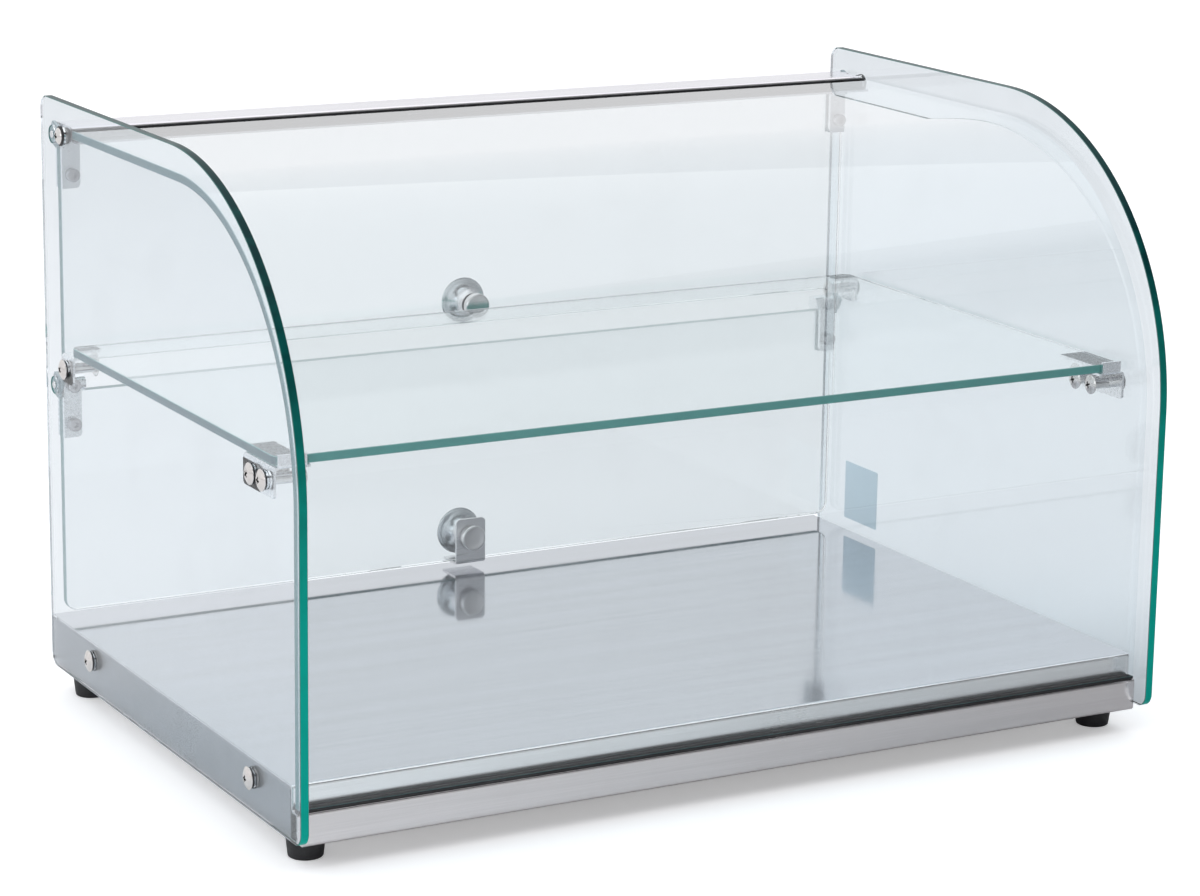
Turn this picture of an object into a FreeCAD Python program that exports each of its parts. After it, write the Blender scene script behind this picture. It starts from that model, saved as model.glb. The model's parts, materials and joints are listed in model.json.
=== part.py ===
import FreeCAD, Part
import math
import os

# Countertop glass display showcase: two side glasses with a large front round, one curved
# front glass between them, a glass shelf, a folded steel base on rubber feet, a top rail and
# two glass doors at the rear that swing up about pins in the side glasses.
#
# X runs to the right as seen from the front, Y to the rear, Z up. The origin is on the floor
# under the middle of the case. All sizes are millimetres.

Vec = FreeCAD.Vector

# Overall sizes
case_width = 554.0            # over the outer faces of the side glasses
side_depth = 370.5            # side glass, front edge to rear edge
case_height = 367.0           # floor to the top edge of the side glasses
shelf_top = 220.5             # floor to the shelf's upper face

# Side glasses
side_glass_t = 5.0
side_floor_gap = 17.0         # floor to the bottom edge
side_front_radius = 170.0     # the large round at the top front
side_corner_radius = 8.0

# Curved front glass
front_glass_t = 5.0
front_setback = 10.0          # side glass front edge to the front glass's outer face
front_top_drop = 16.0         # side glass top edge to the front glass's flat top
front_glass_radius = 157.0    # of the outer face
front_side_gap = 2.0          # end of the front glass to the side glass
front_seat_t = 1.5            # black strip under the front glass
front_seat_inset = 0.3        # strip behind the glass's outer face
glass_to_base_gap = 1.5       # front glass's inner face to the base's upper front

# Base of folded sheet
foot_height = 13.5
base_height = 33.5            # underside to top face
ledge_height = 19.5           # underside to the ledge that carries the front glass
base_sheet = 1.2
bend_radius = 1.0             # inside radius of every fold
base_side_gap = 1.0           # base end to side glass, filled by washers
base_flange = 38.0            # bottom returns at front and rear
side_panel_flange = 19.0
panel_notch_gap = 3.0         # notch in the lower flange round each foot nut
base_overhang = 5.2           # base rear face behind the side glass's rear edge
floor_plate_gap = 0.4

# Feet
foot_top_radius = 11.5
foot_bottom_radius = 9.8
foot_inset = 24.0             # from the base's front and rear faces
foot_side_inset = 12.0        # from the base's ends
foot_edge_radius = 1.0
foot_recess_radius = 4.6
foot_recess_depth = 6.0

# Top rail of folded sheet
rail_sheet = 1.2
rail_above_glass = 1.7        # rail's top face above the front glass's flat top
rail_behind_pivot = 2.6       # rail's rear edge behind the upper door's pivot
rail_depth = 25.6
rail_side_gap = 2.5           # rail end to side glass
rail_lip = 9.0                # lower lip that carries the front glass
rail_tab_width = 13.0         # end tab that takes the screw
rail_tab_front_gap = 1.0
seal_t = 0.8                  # black seal on the front glass's rear edge
seal_back_t = 1.5
seal_leg = 2.6
seal_fold_gap = 0.1           # how much rounder the seal's corner is than the rail's fold

# Shelf
shelf_t = 5.0
shelf_side_gap = 2.2          # shelf end to side glass
shelf_front_inset = 38.5      # behind the side glass's front edge
shelf_rear_inset = 32.5       # before the side glass's rear edge
shelf_corner_radius = 6.0

# Shelf brackets
bracket_sheet = 1.5
bracket_height = 17.0
bracket_flange = 18.0
front_bracket_length = 40.0
rear_bracket_length = 18.0
rear_bracket_overrun = 9.0    # how far a rear bracket reaches past the shelf's rear edge
bracket_lip_width = 13.0
bracket_lip_rise = 6.5
bracket_lip_side_gap = 3.0
bracket_lip_gap = 0.1         # shelf's front edge to the lip's fold
bracket_corner_radius = 2.5
bracket_screw_drop = 13.2     # shelf's upper face to the screw axes
front_screw_offsets = (9.5, 25.0)   # behind the front bracket's front edge
rear_screw_offset = 9.0       # behind the rear bracket's front edge
sleeve_radius = 3.2
sleeve_length = 15.5
sleeve_thread_length = 7.0    # screw thread in each end of a sleeve

# Doors
door_t = 5.0
upper_door_inset = 18.5       # side glass's rear edge to the pivot axis
lower_door_inset = 13.5
door_side_gap = 2.6           # door edge to side glass
door_corner_radius = 7.0
door_top_below_pivot = 4.2
door_bottom_clearance = 6.5   # lower door above the base
door_between_gap = 5.8        # upper door's bottom edge above the lower door's hinge barrel
pivot_below_shelf = 26.5      # shelf's upper face to the lower pivot
pivot_rail_clearance = 0.6    # upper hinge barrel below the rail's sheet

# Hinge clips, pins and bushes
clip_leg_t = 2.2
clip_liner_t = 0.5
clip_width = 11.2
clip_barrel_length = 14.2
clip_leg_length = 32.0        # pivot axis to the bottom of the legs
clip_corner_radius = 3.0
clip_slot_gap = 0.3           # barrel to the door's top edge
clip_screw_drop = 23.7        # pivot axis to the clamp screw
clip_screw_head_radius = 4.0
clip_screw_head_length = 4.6
clip_socket_radius = 1.7
clip_socket_depth = 2.2
pin_radius = 2.3
pin_running_gap = 0.05
pin_grip = 12.0               # length held in the barrel
pin_proud = 0.6               # pin end outside the side glass
pin_end_radius = 1.0          # round on the pin's outer end
bush_flange_t = 1.8
bush_half_length = 11.0       # long half diagonal of the flange
bush_half_height = 8.6        # short half diagonal
bush_corner_radius = 2.0
bush_spigot_radius = 4.9
bush_tilt = -18.0             # degrees, long diagonal below level towards the rear
bush_end_gap = 0.4            # spigot end below the side glass's outer face

# Knobs
knob_height = 14.5            # door face washer to the disc's crown
knob_disc_radius = 15.0
knob_rim = 1.0
knob_crown = 1.0
knob_neck_radius = 4.6
knob_foot_radius = 6.4
knob_foot_t = 1.4
knob_foot_slope = 1.0         # height over which the foot narrows to the neck
knob_flare_radius = 7.2       # of the neck's flare, part of the way up
knob_flare_height = 8.7
knob_rim_slope = 0.5          # height of the slope under the disc's rim
knob_above_edge = 15.0        # knob axis above the door's bottom edge
knob_stud_radius = 2.0
knob_thread_depth = 8.0
knob_stud_end_gap = 1.0       # stud's end to the bottom of the knob's thread
knob_cap_radius = 8.2
knob_cap_t = 4.5
knob_cap_edge_radius = 1.4
knob_washer_radius = 7.2
knob_washer_t = 0.5
knob_hole_radius = 4.0

# Catch plate on the lower door
catch_sheet = 1.5
catch_width = 20.5
catch_rise = 27.0             # plate above the door's bottom edge
catch_reach = 20.0            # foot towards the rear
catch_edge_gap = 0.2          # door's bottom edge to the round of the fold
catch_corner_radius = 3.0

# Screws
base_head_radius = 6.5
shelf_head_radius = 6.0
rail_head_radius = 4.9
screw_head_height = 2.6
screw_head_edge = 0.6         # upright edge below the dome
screw_shank_radius = 2.0
screw_washer_t = 1.0
screw_washer_inset = 0.6      # washer's edge inside the head's edge
rail_washer_radius = 5.8
spacer_radius = 6.2
inner_head_radius = 5.8
base_screw_shank_radius = 2.5
base_screw_spread = 119.0     # each side of the side glass's middle
base_screw_drop = 10.5        # base top face to the screw axes
cross_length = 5.2
cross_width = 1.3
cross_depth = 1.3
nut_flat = 8.0                # across flats
nut_t = 4.0
rail_nut_t = 8.0
rail_nut_radius = 3.6
rail_spacer_radius = 4.8
glass_hole_radius = 5.0
thread_gap = 0.05             # screw thread to the nut or sleeve that it turns in
through_gap = 0.3             # screw shank to a plain hole in sheet
tool_overrun = 1.0            # how far a cutting tool reaches past the metal it cuts
foot_screw_head_radius = 3.8
foot_screw_head_t = 2.4

# Blank label on the right side glass
label_size = 39.0
label_t = 0.3
label_rear_inset = 30.5
label_above_base = 6.5
label_corner_radius = 1.0

# Derived places across the case
outer_half = case_width / 2.0
inner_half = outer_half - side_glass_t
base_half = inner_half - base_side_gap
front_half = inner_half - front_side_gap
rail_half = inner_half - rail_side_gap
shelf_half = inner_half - shelf_side_gap
door_half = inner_half - door_side_gap
clip_half_t = door_t / 2.0 + clip_liner_t + clip_leg_t

# Derived places from front to rear
knob_reach = (door_t / 2.0 + knob_washer_t + knob_height) - lower_door_inset
rear_reach = max(base_overhang, knob_reach)
side_front = -(side_depth + rear_reach) / 2.0
side_rear = side_front + side_depth
front_face = side_front + front_setback
base_front = front_face + front_glass_t + glass_to_base_gap
base_rear = side_rear + base_overhang
upper_door_y = side_rear - upper_door_inset
lower_door_y = side_rear - lower_door_inset
rail_rear = upper_door_y + rail_behind_pivot
rail_front = rail_rear - rail_depth
front_glass_rear = rail_front - seal_back_t
shelf_front = side_front + shelf_front_inset
shelf_rear = side_rear - shelf_rear_inset
side_middle = (side_front + side_rear) / 2.0

# Derived places from the floor up
base_bottom = foot_height
base_top = base_bottom + base_height
ledge_z = base_bottom + ledge_height
front_glass_bottom = ledge_z + front_seat_t
front_glass_top = case_height - front_top_drop
rail_top = front_glass_top + rail_above_glass
shelf_bottom = shelf_top - shelf_t
bracket_screw_z = shelf_top - bracket_screw_drop
upper_pivot_z = rail_top - rail_sheet - pivot_rail_clearance - clip_half_t
lower_pivot_z = shelf_top - pivot_below_shelf
lower_door_bottom = base_top + door_bottom_clearance
upper_door_bottom = lower_pivot_z + clip_half_t + door_between_gap
base_screw_z = base_top - base_screw_drop

# Derived places of the rail's end tab
rail_tab_front = rail_front + rail_sheet + rail_tab_front_gap
rail_screw_y = rail_tab_front + rail_tab_width / 2.0 - rail_tab_front_gap
rail_lip_top = front_glass_top - front_glass_t - seal_t
rail_tab_bottom = rail_lip_top - rail_sheet
rail_screw_z = rail_top - rail_sheet - bend_radius - rail_nut_radius


def yz_place(x):
    """Map outline coordinates (y, z) onto the plane at x."""
    return lambda y, z: Vec(x, y, z)


def xz_place(y):
    """Map outline coordinates (x, z) onto the plane at y."""
    return lambda x, z: Vec(x, y, z)


def xy_place(z):
    """Map outline coordinates (x, y) onto the plane at z."""
    return lambda x, y: Vec(x, y, z)


def box(x_range, y_range, z_range):
    """Box between two values on each axis."""
    size = [high - low for low, high in (x_range, y_range, z_range)]
    return Part.makeBox(size[0], size[1], size[2], Vec(x_range[0], y_range[0], z_range[0]))


def rod(radius, start, end):
    """Cylinder between two points."""
    axis = end - start
    return Part.makeCylinder(radius, axis.Length, start, axis)


def corner_points(before, here, after):
    """Points of one outline corner: the corner itself, or the start, middle and end of its round."""
    radius = here[2]
    point = Vec(here[0], here[1], 0)
    if radius <= 0:
        return [point]
    towards_before = (Vec(before[0], before[1], 0) - point).normalize()
    towards_after = (Vec(after[0], after[1], 0) - point).normalize()
    half_angle = towards_before.getAngle(towards_after) / 2.0
    run = radius / math.tan(half_angle)
    bisector = (towards_before + towards_after).normalize()
    centre = point + bisector * (radius / math.sin(half_angle))
    return [point + towards_before * run, centre - bisector * radius, point + towards_after * run]


def rounded_face(corners, place):
    """Face inside an outline of (u, v, radius) corners, laid out by place."""
    count = len(corners)
    rounds = [corner_points(corners[i - 1], corners[i], corners[(i + 1) % count]) for i in range(count)]
    edges = []
    for i in range(count):
        spots = [place(spot.x, spot.y) for spot in rounds[i]]
        if len(spots) == 3:
            edges.append(Part.Arc(spots[0], spots[1], spots[2]).toShape())
        next_spot = rounds[(i + 1) % count][0]
        line_end = place(next_spot.x, next_spot.y)
        if spots[-1].distanceToPoint(line_end) > 1e-6:
            edges.append(Part.LineSegment(spots[-1], line_end).toShape())
    return Part.Face(Part.Wire(edges))


def rectangle(u_range, v_range, radius):
    """Corners of a rectangle with one radius."""
    return [
        (u_range[0], v_range[0], radius),
        (u_range[1], v_range[0], radius),
        (u_range[1], v_range[1], radius),
        (u_range[0], v_range[1], radius),
    ]


def folded_face(path, sheet, place):
    """Section of a folded sheet whose outer line is path and whose metal lies to its right."""
    outer = []
    inner = []
    last = len(path) - 1
    for i, (u, v) in enumerate(path):
        point = Vec(u, v, 0)
        ahead = (Vec(*path[i + 1], 0) - point).normalize() if i < last else None
        behind = (point - Vec(*path[i - 1], 0)).normalize() if i > 0 else None
        if ahead is None or behind is None:
            along = ahead or behind
            side = Vec(along.y, -along.x, 0) * sheet
            outer_radius = 0
            inner_radius = 0
        else:
            side = (Vec(behind.y, -behind.x, 0) + Vec(ahead.y, -ahead.x, 0)) * sheet
            turns_right = behind.cross(ahead).z < 0
            outer_radius = bend_radius + (sheet if turns_right else 0)
            inner_radius = bend_radius + (0 if turns_right else sheet)
        outer.append((u, v, outer_radius))
        inner.append((u + side.x, v + side.y, inner_radius))
    return rounded_face(outer + inner[::-1], place)


def mirrored(shape):
    """The same shape on the other side of the case."""
    return shape.mirror(Vec(0, 0, 0), Vec(1, 0, 0))


def both_sides(right_shapes):
    """Right-hand shapes together with their left-hand mirrors."""
    return Part.makeCompound(right_shapes + [mirrored(shape) for shape in right_shapes])


def cut_all(shape, tools):
    """Cut each tool from a shape."""
    return shape.cut(Part.makeCompound(tools)) if tools else shape


def revolved(points_and_edges, centre, axis):
    """Solid turned from profile edges about an axis through centre."""
    face = Part.Face(Part.Wire(points_and_edges))
    return face.revolve(centre, axis, 360)


def dome_half_drop(rim_radius, rise):
    """How far a shallow dome's surface lies below its crown halfway out to the rim."""
    sphere_radius = (rim_radius ** 2 + rise ** 2) / (2.0 * rise)
    return sphere_radius - math.sqrt(sphere_radius ** 2 - (rim_radius / 2.0) ** 2)


def hexagon_nut(start, length, hole_radius):
    """Hexagonal nut along X from start towards -X."""
    corner = nut_flat / math.sqrt(3.0)
    spots = [Vec(start.x, start.y + corner * math.cos(math.radians(60 * i)),
                 start.z + corner * math.sin(math.radians(60 * i))) for i in range(7)]
    body = Part.Face(Part.makePolygon(spots)).extrude(Vec(-length, 0, 0))
    return body.cut(rod(hole_radius, start, start + Vec(-length, 0, 0)))


def cross_recess(face_centre, direction):
    """Cross-shaped driver recess cut into a head whose crown is at face_centre, along X."""
    depth_end = face_centre - direction * cross_depth
    outside = face_centre + direction * tool_overrun
    low_x = min(outside.x, depth_end.x)
    high_x = max(outside.x, depth_end.x)
    arms = []
    for y_size, z_size in ((cross_length, cross_width), (cross_width, cross_length)):
        y_range = (face_centre.y - y_size / 2.0, face_centre.y + y_size / 2.0)
        z_range = (face_centre.z - z_size / 2.0, face_centre.z + z_size / 2.0)
        arms.append(box((low_x, high_x), y_range, z_range))
    return arms


def truss_screw(seat, direction, head_radius, shank_radius, shank_length):
    """Screw along X with a domed head on seat; the shank runs against direction."""
    crown = seat + direction * screw_head_height
    rim = seat + Vec(0, 0, head_radius)
    rim_top = rim + direction * screw_head_edge
    drop = dome_half_drop(head_radius, screw_head_height - screw_head_edge)
    middle = crown - direction * drop + Vec(0, 0, head_radius / 2.0)
    profile = [
        Part.LineSegment(seat, rim).toShape(),
        Part.LineSegment(rim, rim_top).toShape(),
        Part.Arc(rim_top, middle, crown).toShape(),
        Part.LineSegment(crown, seat).toShape(),
    ]
    head = revolved(profile, seat, Vec(1, 0, 0))
    screw = head.fuse(rod(shank_radius, seat, seat - direction * shank_length))
    return cut_all(screw.removeSplitter(), cross_recess(crown, direction))


def ring(outer_radius, hole_radius, start, end):
    """Washer or tube between two points."""
    return rod(outer_radius, start, end).cut(rod(hole_radius, start, end))


def front_bracket_front():
    """Front edge of the front brackets: the shelf's edge clears the round of the lip's fold."""
    return shelf_front - bracket_lip_gap - bend_radius - bracket_sheet


def shelf_screw_places():
    """(y, z) of the shelf bracket screws on one side."""
    front = [front_bracket_front() + offset for offset in front_screw_offsets]
    rear = [rear_bracket_front() + rear_screw_offset]
    return [(y, bracket_screw_z) for y in front + rear]


def rear_bracket_front():
    """Front edge of the rear brackets."""
    return shelf_rear + rear_bracket_overrun - rear_bracket_length


def base_screw_places():
    """(y, z) of the screws from a side glass into the base."""
    return [(side_middle - base_screw_spread, base_screw_z), (side_middle + base_screw_spread, base_screw_z)]


def pivot_places():
    """(y, z) of the upper and lower door pivots."""
    return [(upper_door_y, upper_pivot_z), (lower_door_y, lower_pivot_z)]


def side_glass():
    """Right side glass with its holes."""
    corners = [
        (side_front, side_floor_gap, side_corner_radius),
        (side_rear, side_floor_gap, side_corner_radius),
        (side_rear, case_height, side_corner_radius),
        (side_front, case_height, side_front_radius),
    ]
    plate = rounded_face(corners, yz_place(inner_half)).extrude(Vec(side_glass_t, 0, 0))
    places = shelf_screw_places() + base_screw_places() + pivot_places() + [(rail_screw_y, rail_screw_z)]
    holes = [rod(glass_hole_radius, Vec(inner_half, y, z), Vec(outer_half, y, z)) for y, z in places]
    return cut_all(plate, holes)


def front_glass():
    """Curved front glass: an upright front, one large bend and a flat top."""
    inner_radius = front_glass_radius - front_glass_t
    inner_face_y = front_face + front_glass_t
    inner_top = front_glass_top - front_glass_t
    corners = [
        (front_face, front_glass_bottom, 0),
        (front_face, front_glass_top, front_glass_radius),
        (front_glass_rear, front_glass_top, 0),
        (front_glass_rear, inner_top, 0),
        (inner_face_y, inner_top, inner_radius),
        (inner_face_y, front_glass_bottom, 0),
    ]
    return rounded_face(corners, yz_place(-front_half)).extrude(Vec(2 * front_half, 0, 0))


def front_seat():
    """Black strip between the ledge and the front glass."""
    y_range = (front_face + front_seat_inset, base_front - bend_radius)
    return box((-front_half, front_half), y_range, (ledge_z, front_glass_bottom))


def top_seal():
    """Black U-shaped seal on the rear edge of the front glass."""
    high = front_glass_top + seal_t
    corners = rectangle((front_glass_rear - seal_leg, rail_front), (rail_lip_top, high), 0)
    corners[1] = corners[1][:2] + (bend_radius + seal_fold_gap,)
    body = rounded_face(corners, yz_place(-front_half)).extrude(Vec(2 * front_half, 0, 0))
    slot = box((-front_half, front_half), (front_glass_rear - seal_leg, front_glass_rear),
               (front_glass_top - front_glass_t, front_glass_top))
    return body.cut(slot)


def shelf():
    """Glass shelf."""
    outline = rectangle((-shelf_half, shelf_half), (shelf_front, shelf_rear), shelf_corner_radius)
    return rounded_face(outline, xy_place(shelf_bottom)).extrude(Vec(0, 0, shelf_t))


def foot_places():
    """(x, y) of the four feet, by name."""
    x = base_half - foot_side_inset
    rows = {"front": front_face + foot_inset, "rear": base_rear - foot_inset}
    sides = {"left": -x, "right": x}
    return {row + "_" + side: (sides[side], rows[row]) for row in rows for side in sides}


def foot_screw_hole(x, y, radius):
    """Vertical hole tool through the base's bottom sheets at a foot."""
    return rod(radius, Vec(x, y, base_bottom - tool_overrun), Vec(x, y, base_floor_top() + tool_overrun))


def base_shell():
    """Folded sheet: front band, ledge, upper front, top, rear and the two bottom returns."""
    path = [
        (front_face + base_flange, base_bottom),
        (front_face, base_bottom),
        (front_face, ledge_z),
        (base_front, ledge_z),
        (base_front, base_top),
        (base_rear, base_top),
        (base_rear, base_bottom),
        (base_rear - base_flange, base_bottom),
    ]
    section = folded_face(path, base_sheet, yz_place(-base_half))
    shell = section.extrude(Vec(2 * base_half, 0, 0))
    radius = screw_shank_radius + through_gap
    return cut_all(shell, [foot_screw_hole(x, y, radius) for x, y in foot_places().values()])


def base_floor_top():
    """Upper face of the floor plate."""
    return base_bottom + 2 * base_sheet


def base_floor():
    """Flat plate on the bottom returns that closes the base."""
    edge = base_sheet + bend_radius + floor_plate_gap
    plate = box((-base_half + base_sheet + floor_plate_gap, base_half - base_sheet - floor_plate_gap),
                (front_face + edge, base_rear - edge),
                (base_bottom + base_sheet, base_floor_top()))
    radius = screw_shank_radius + through_gap
    return cut_all(plate, [foot_screw_hole(x, y, radius) for x, y in foot_places().values()])


def base_side_panel():
    """Right end panel: a folded channel under the top sheet, notched round the foot nuts."""
    high = base_top - base_sheet
    low = base_floor_top()
    path = [
        (base_half - side_panel_flange, high),
        (base_half, high),
        (base_half, low),
        (base_half - side_panel_flange, low),
    ]
    start = base_front + base_sheet + bend_radius
    end = base_rear - base_sheet - bend_radius
    panel = folded_face(path, base_sheet, xz_place(start)).extrude(Vec(0, end - start, 0))
    radius = base_screw_shank_radius + through_gap
    tools = [rod(radius, Vec(base_half - base_sheet - tool_overrun, y, z),
                 Vec(base_half + tool_overrun, y, z)) for y, z in base_screw_places()]
    notch_half = nut_flat / 2.0 + panel_notch_gap
    notch_x = (base_half - side_panel_flange - tool_overrun, base_half - base_sheet - bend_radius)
    notch_z = (low - tool_overrun, low + base_sheet + tool_overrun)
    for x, y in foot_places().values():
        tools.append(box(notch_x, (y - notch_half, y + notch_half), notch_z))
    return cut_all(panel, tools)


def foot(x, y):
    """Tapered rubber foot with a recess for its screw."""
    body = Part.makeCone(foot_bottom_radius, foot_top_radius, foot_height, Vec(x, y, 0))
    lower_edges = [edge for edge in body.Edges if edge.BoundBox.ZMax < 1e-6]
    body = body.makeFillet(foot_edge_radius, lower_edges)
    recess = rod(foot_recess_radius, Vec(x, y, 0), Vec(x, y, foot_recess_depth))
    hole = rod(screw_shank_radius + through_gap, Vec(x, y, 0), Vec(x, y, foot_height))
    return cut_all(body, [recess, hole])


def foot_screws():
    """Screws up through the feet, with their nuts on the floor plate."""
    solids = []
    for x, y in foot_places().values():
        seat = Vec(x, y, foot_recess_depth)
        tip = Vec(x, y, base_floor_top() + nut_t)
        head = rod(foot_screw_head_radius, seat - Vec(0, 0, foot_screw_head_t), seat)
        solids.append(head.fuse(rod(screw_shank_radius, seat, tip)).removeSplitter())
    return Part.makeCompound(solids)


def foot_nuts():
    """Square nuts of the foot screws."""
    solids = []
    half = nut_flat / 2.0
    for x, y in foot_places().values():
        low = Vec(x, y, base_floor_top())
        block = box((x - half, x + half), (y - half, y + half), (low.z, low.z + nut_t))
        solids.append(block.cut(rod(screw_shank_radius + thread_gap, low, low + Vec(0, 0, nut_t))))
    return Part.makeCompound(solids)


def rail():
    """Top rail: top face, front web and the lip under the front glass, with folded end tabs."""
    path = [
        (rail_front - rail_lip, rail_tab_bottom + rail_sheet),
        (rail_front, rail_tab_bottom + rail_sheet),
        (rail_front, rail_top),
        (rail_rear, rail_top),
    ]
    section = folded_face(path, rail_sheet, yz_place(-rail_half))
    profile = section.extrude(Vec(2 * rail_half, 0, 0))
    tab_path = [
        (rail_half - 2 * rail_tab_width, rail_top),
        (rail_half, rail_top),
        (rail_half, rail_tab_bottom),
    ]
    strip = folded_face(tab_path, rail_sheet, xz_place(rail_tab_front))
    tab = strip.extrude(Vec(0, rail_tab_width, 0))
    trim = box((rail_half - 2 * (rail_sheet + bend_radius), rail_half + tool_overrun),
               (rail_tab_front, rail_tab_front + rail_tab_width),
               (rail_top - rail_sheet - bend_radius, rail_top + tool_overrun))
    right = tab.cut(rod(base_screw_shank_radius + through_gap,
                        Vec(rail_half - rail_sheet - tool_overrun, rail_screw_y, rail_screw_z),
                        Vec(rail_half + tool_overrun, rail_screw_y, rail_screw_z)))
    body = cut_all(profile, [trim, mirrored(trim)])
    return body.multiFuse([right, mirrored(right)]).removeSplitter()


def bracket_body(y_start, length):
    """Right shelf bracket without its front lip: upright plate and flange under the shelf."""
    path = [
        (inner_half - bracket_flange, shelf_bottom),
        (inner_half, shelf_bottom),
        (inner_half, shelf_bottom - bracket_height),
    ]
    section = folded_face(path, bracket_sheet, xz_place(y_start))
    body = section.extrude(Vec(0, length, 0))
    low = shelf_bottom - bracket_height
    outline = rectangle((y_start, y_start + length), (low, shelf_bottom), bracket_corner_radius)
    outline[2] = outline[2][:2] + (0,)
    outline[3] = outline[3][:2] + (0,)
    keep = rounded_face(outline, yz_place(inner_half - bracket_flange)).extrude(Vec(bracket_flange, 0, 0))
    return body.common(keep)


def bracket_holes(y_start, offsets):
    """Screw hole tools of a right bracket."""
    radius = screw_shank_radius + through_gap
    near_x = inner_half - bracket_sheet - tool_overrun
    return [rod(radius, Vec(near_x, y_start + offset, bracket_screw_z),
                Vec(inner_half + tool_overrun, y_start + offset, bracket_screw_z)) for offset in offsets]


def front_bracket():
    """Right front shelf bracket with the lip that stops the shelf."""
    start = front_bracket_front()
    body = bracket_body(start, front_bracket_length)
    lip_outer = inner_half - bracket_lip_side_gap
    path = [
        (start + 3 * bracket_sheet, shelf_bottom - bracket_sheet),
        (start, shelf_bottom - bracket_sheet),
        (start, shelf_bottom + bracket_lip_rise),
    ]
    lip = folded_face(path, bracket_sheet, yz_place(lip_outer - bracket_lip_width))
    lip = lip.extrude(Vec(bracket_lip_width, 0, 0))
    corner = box((lip_outer - bracket_lip_width, lip_outer),
                 (start, start + bracket_sheet + bend_radius),
                 (shelf_bottom - bracket_sheet, shelf_bottom))
    body = body.cut(corner).fuse(lip).removeSplitter()
    return cut_all(body, bracket_holes(start, front_screw_offsets))


def rear_bracket():
    """Right rear shelf bracket."""
    start = rear_bracket_front()
    body = bracket_body(start, rear_bracket_length)
    return cut_all(body, bracket_holes(start, (rear_screw_offset,)))


def sleeve_ends():
    """Outer and inner X of the sleeves on the right side."""
    outer = inner_half - bracket_sheet
    return outer, outer - sleeve_length


def shelf_sleeves():
    """Tubular nuts that stand inwards from the shelf brackets."""
    outer, inner = sleeve_ends()
    hole = screw_shank_radius + thread_gap
    tubes = [ring(sleeve_radius, hole, Vec(inner, y, z), Vec(outer, y, z)) for y, z in shelf_screw_places()]
    return both_sides(tubes)


def shelf_outer_screws():
    """Screws through the side glasses into the sleeves."""
    seat_x = outer_half + screw_washer_t
    length = seat_x - (sleeve_ends()[0] - sleeve_thread_length)
    screws = [truss_screw(Vec(seat_x, y, z), Vec(1, 0, 0), shelf_head_radius, screw_shank_radius, length)
              for y, z in shelf_screw_places()]
    return both_sides(screws)


def shelf_inner_screws():
    """Screws in the inner ends of the sleeves, whose heads keep the shelf from sliding."""
    seat_x = sleeve_ends()[1]
    screws = [truss_screw(Vec(seat_x, y, z), Vec(-1, 0, 0), inner_head_radius, screw_shank_radius,
                          sleeve_thread_length) for y, z in shelf_screw_places()]
    return both_sides(screws)


def base_screws():
    """Screws through the side glasses into the base."""
    seat_x = outer_half + screw_washer_t
    length = seat_x - (base_half - base_sheet - nut_t)
    screws = [truss_screw(Vec(seat_x, y, z), Vec(1, 0, 0), base_head_radius, base_screw_shank_radius, length)
              for y, z in base_screw_places()]
    return both_sides(screws)


def base_nuts():
    """Weld nuts inside the base's end panels."""
    start_x = base_half - base_sheet
    hole = base_screw_shank_radius + thread_gap
    return both_sides([hexagon_nut(Vec(start_x, y, z), nut_t, hole) for y, z in base_screw_places()])


def rail_screws():
    """Screws through the side glasses into the rail's end tabs."""
    seat_x = outer_half + screw_washer_t
    length = seat_x - (rail_half - rail_sheet - rail_nut_t)
    seat = Vec(seat_x, rail_screw_y, rail_screw_z)
    return both_sides([truss_screw(seat, Vec(1, 0, 0), rail_head_radius, base_screw_shank_radius, length)])


def rail_nuts():
    """Long round nuts on the inner faces of the rail's end tabs."""
    start = Vec(rail_half - rail_sheet, rail_screw_y, rail_screw_z)
    hole = base_screw_shank_radius + thread_gap
    return both_sides([ring(rail_nut_radius, hole, start, start - Vec(rail_nut_t, 0, 0))])


def outer_washers():
    """Black washers under every screw head outside the side glasses."""
    small = screw_shank_radius + through_gap
    large = base_screw_shank_radius + through_gap
    places = [(y, z, small, shelf_head_radius - screw_washer_inset) for y, z in shelf_screw_places()]
    places += [(y, z, large, base_head_radius - screw_washer_inset) for y, z in base_screw_places()]
    places.append((rail_screw_y, rail_screw_z, large, rail_washer_radius))
    washers = [ring(edge, hole, Vec(outer_half, y, z), Vec(outer_half + screw_washer_t, y, z))
               for y, z, hole, edge in places]
    return both_sides(washers)


def spacer_washers():
    """Spacers between the side glasses and the base or the rail."""
    hole = base_screw_shank_radius + through_gap
    spacers = [ring(spacer_radius, hole, Vec(base_half, y, z), Vec(inner_half, y, z))
               for y, z in base_screw_places()]
    y, z = rail_screw_y, rail_screw_z
    spacers.append(ring(rail_spacer_radius, hole, Vec(rail_half, y, z), Vec(inner_half, y, z)))
    return both_sides(spacers)


def hinge_bush(y, z):
    """Right nylon bush: diamond flange inside the side glass and a spigot through it."""
    corners = [
        (bush_half_length, 0, bush_corner_radius),
        (0, bush_half_height, bush_corner_radius),
        (-bush_half_length, 0, bush_corner_radius),
        (0, -bush_half_height, bush_corner_radius),
    ]
    flange = rounded_face(corners, yz_place(inner_half - bush_flange_t)).extrude(Vec(bush_flange_t, 0, 0))
    flange.rotate(Vec(0, 0, 0), Vec(1, 0, 0), bush_tilt)
    flange.translate(Vec(0, y, z))
    spigot = rod(bush_spigot_radius, Vec(inner_half - bush_flange_t / 2.0, y, z),
                 Vec(outer_half - bush_end_gap, y, z))
    bore = rod(pin_radius + pin_running_gap, Vec(inner_half - 2 * bush_flange_t, y, z),
               Vec(outer_half + tool_overrun, y, z))
    return flange.fuse(spigot).removeSplitter().cut(bore)


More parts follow.
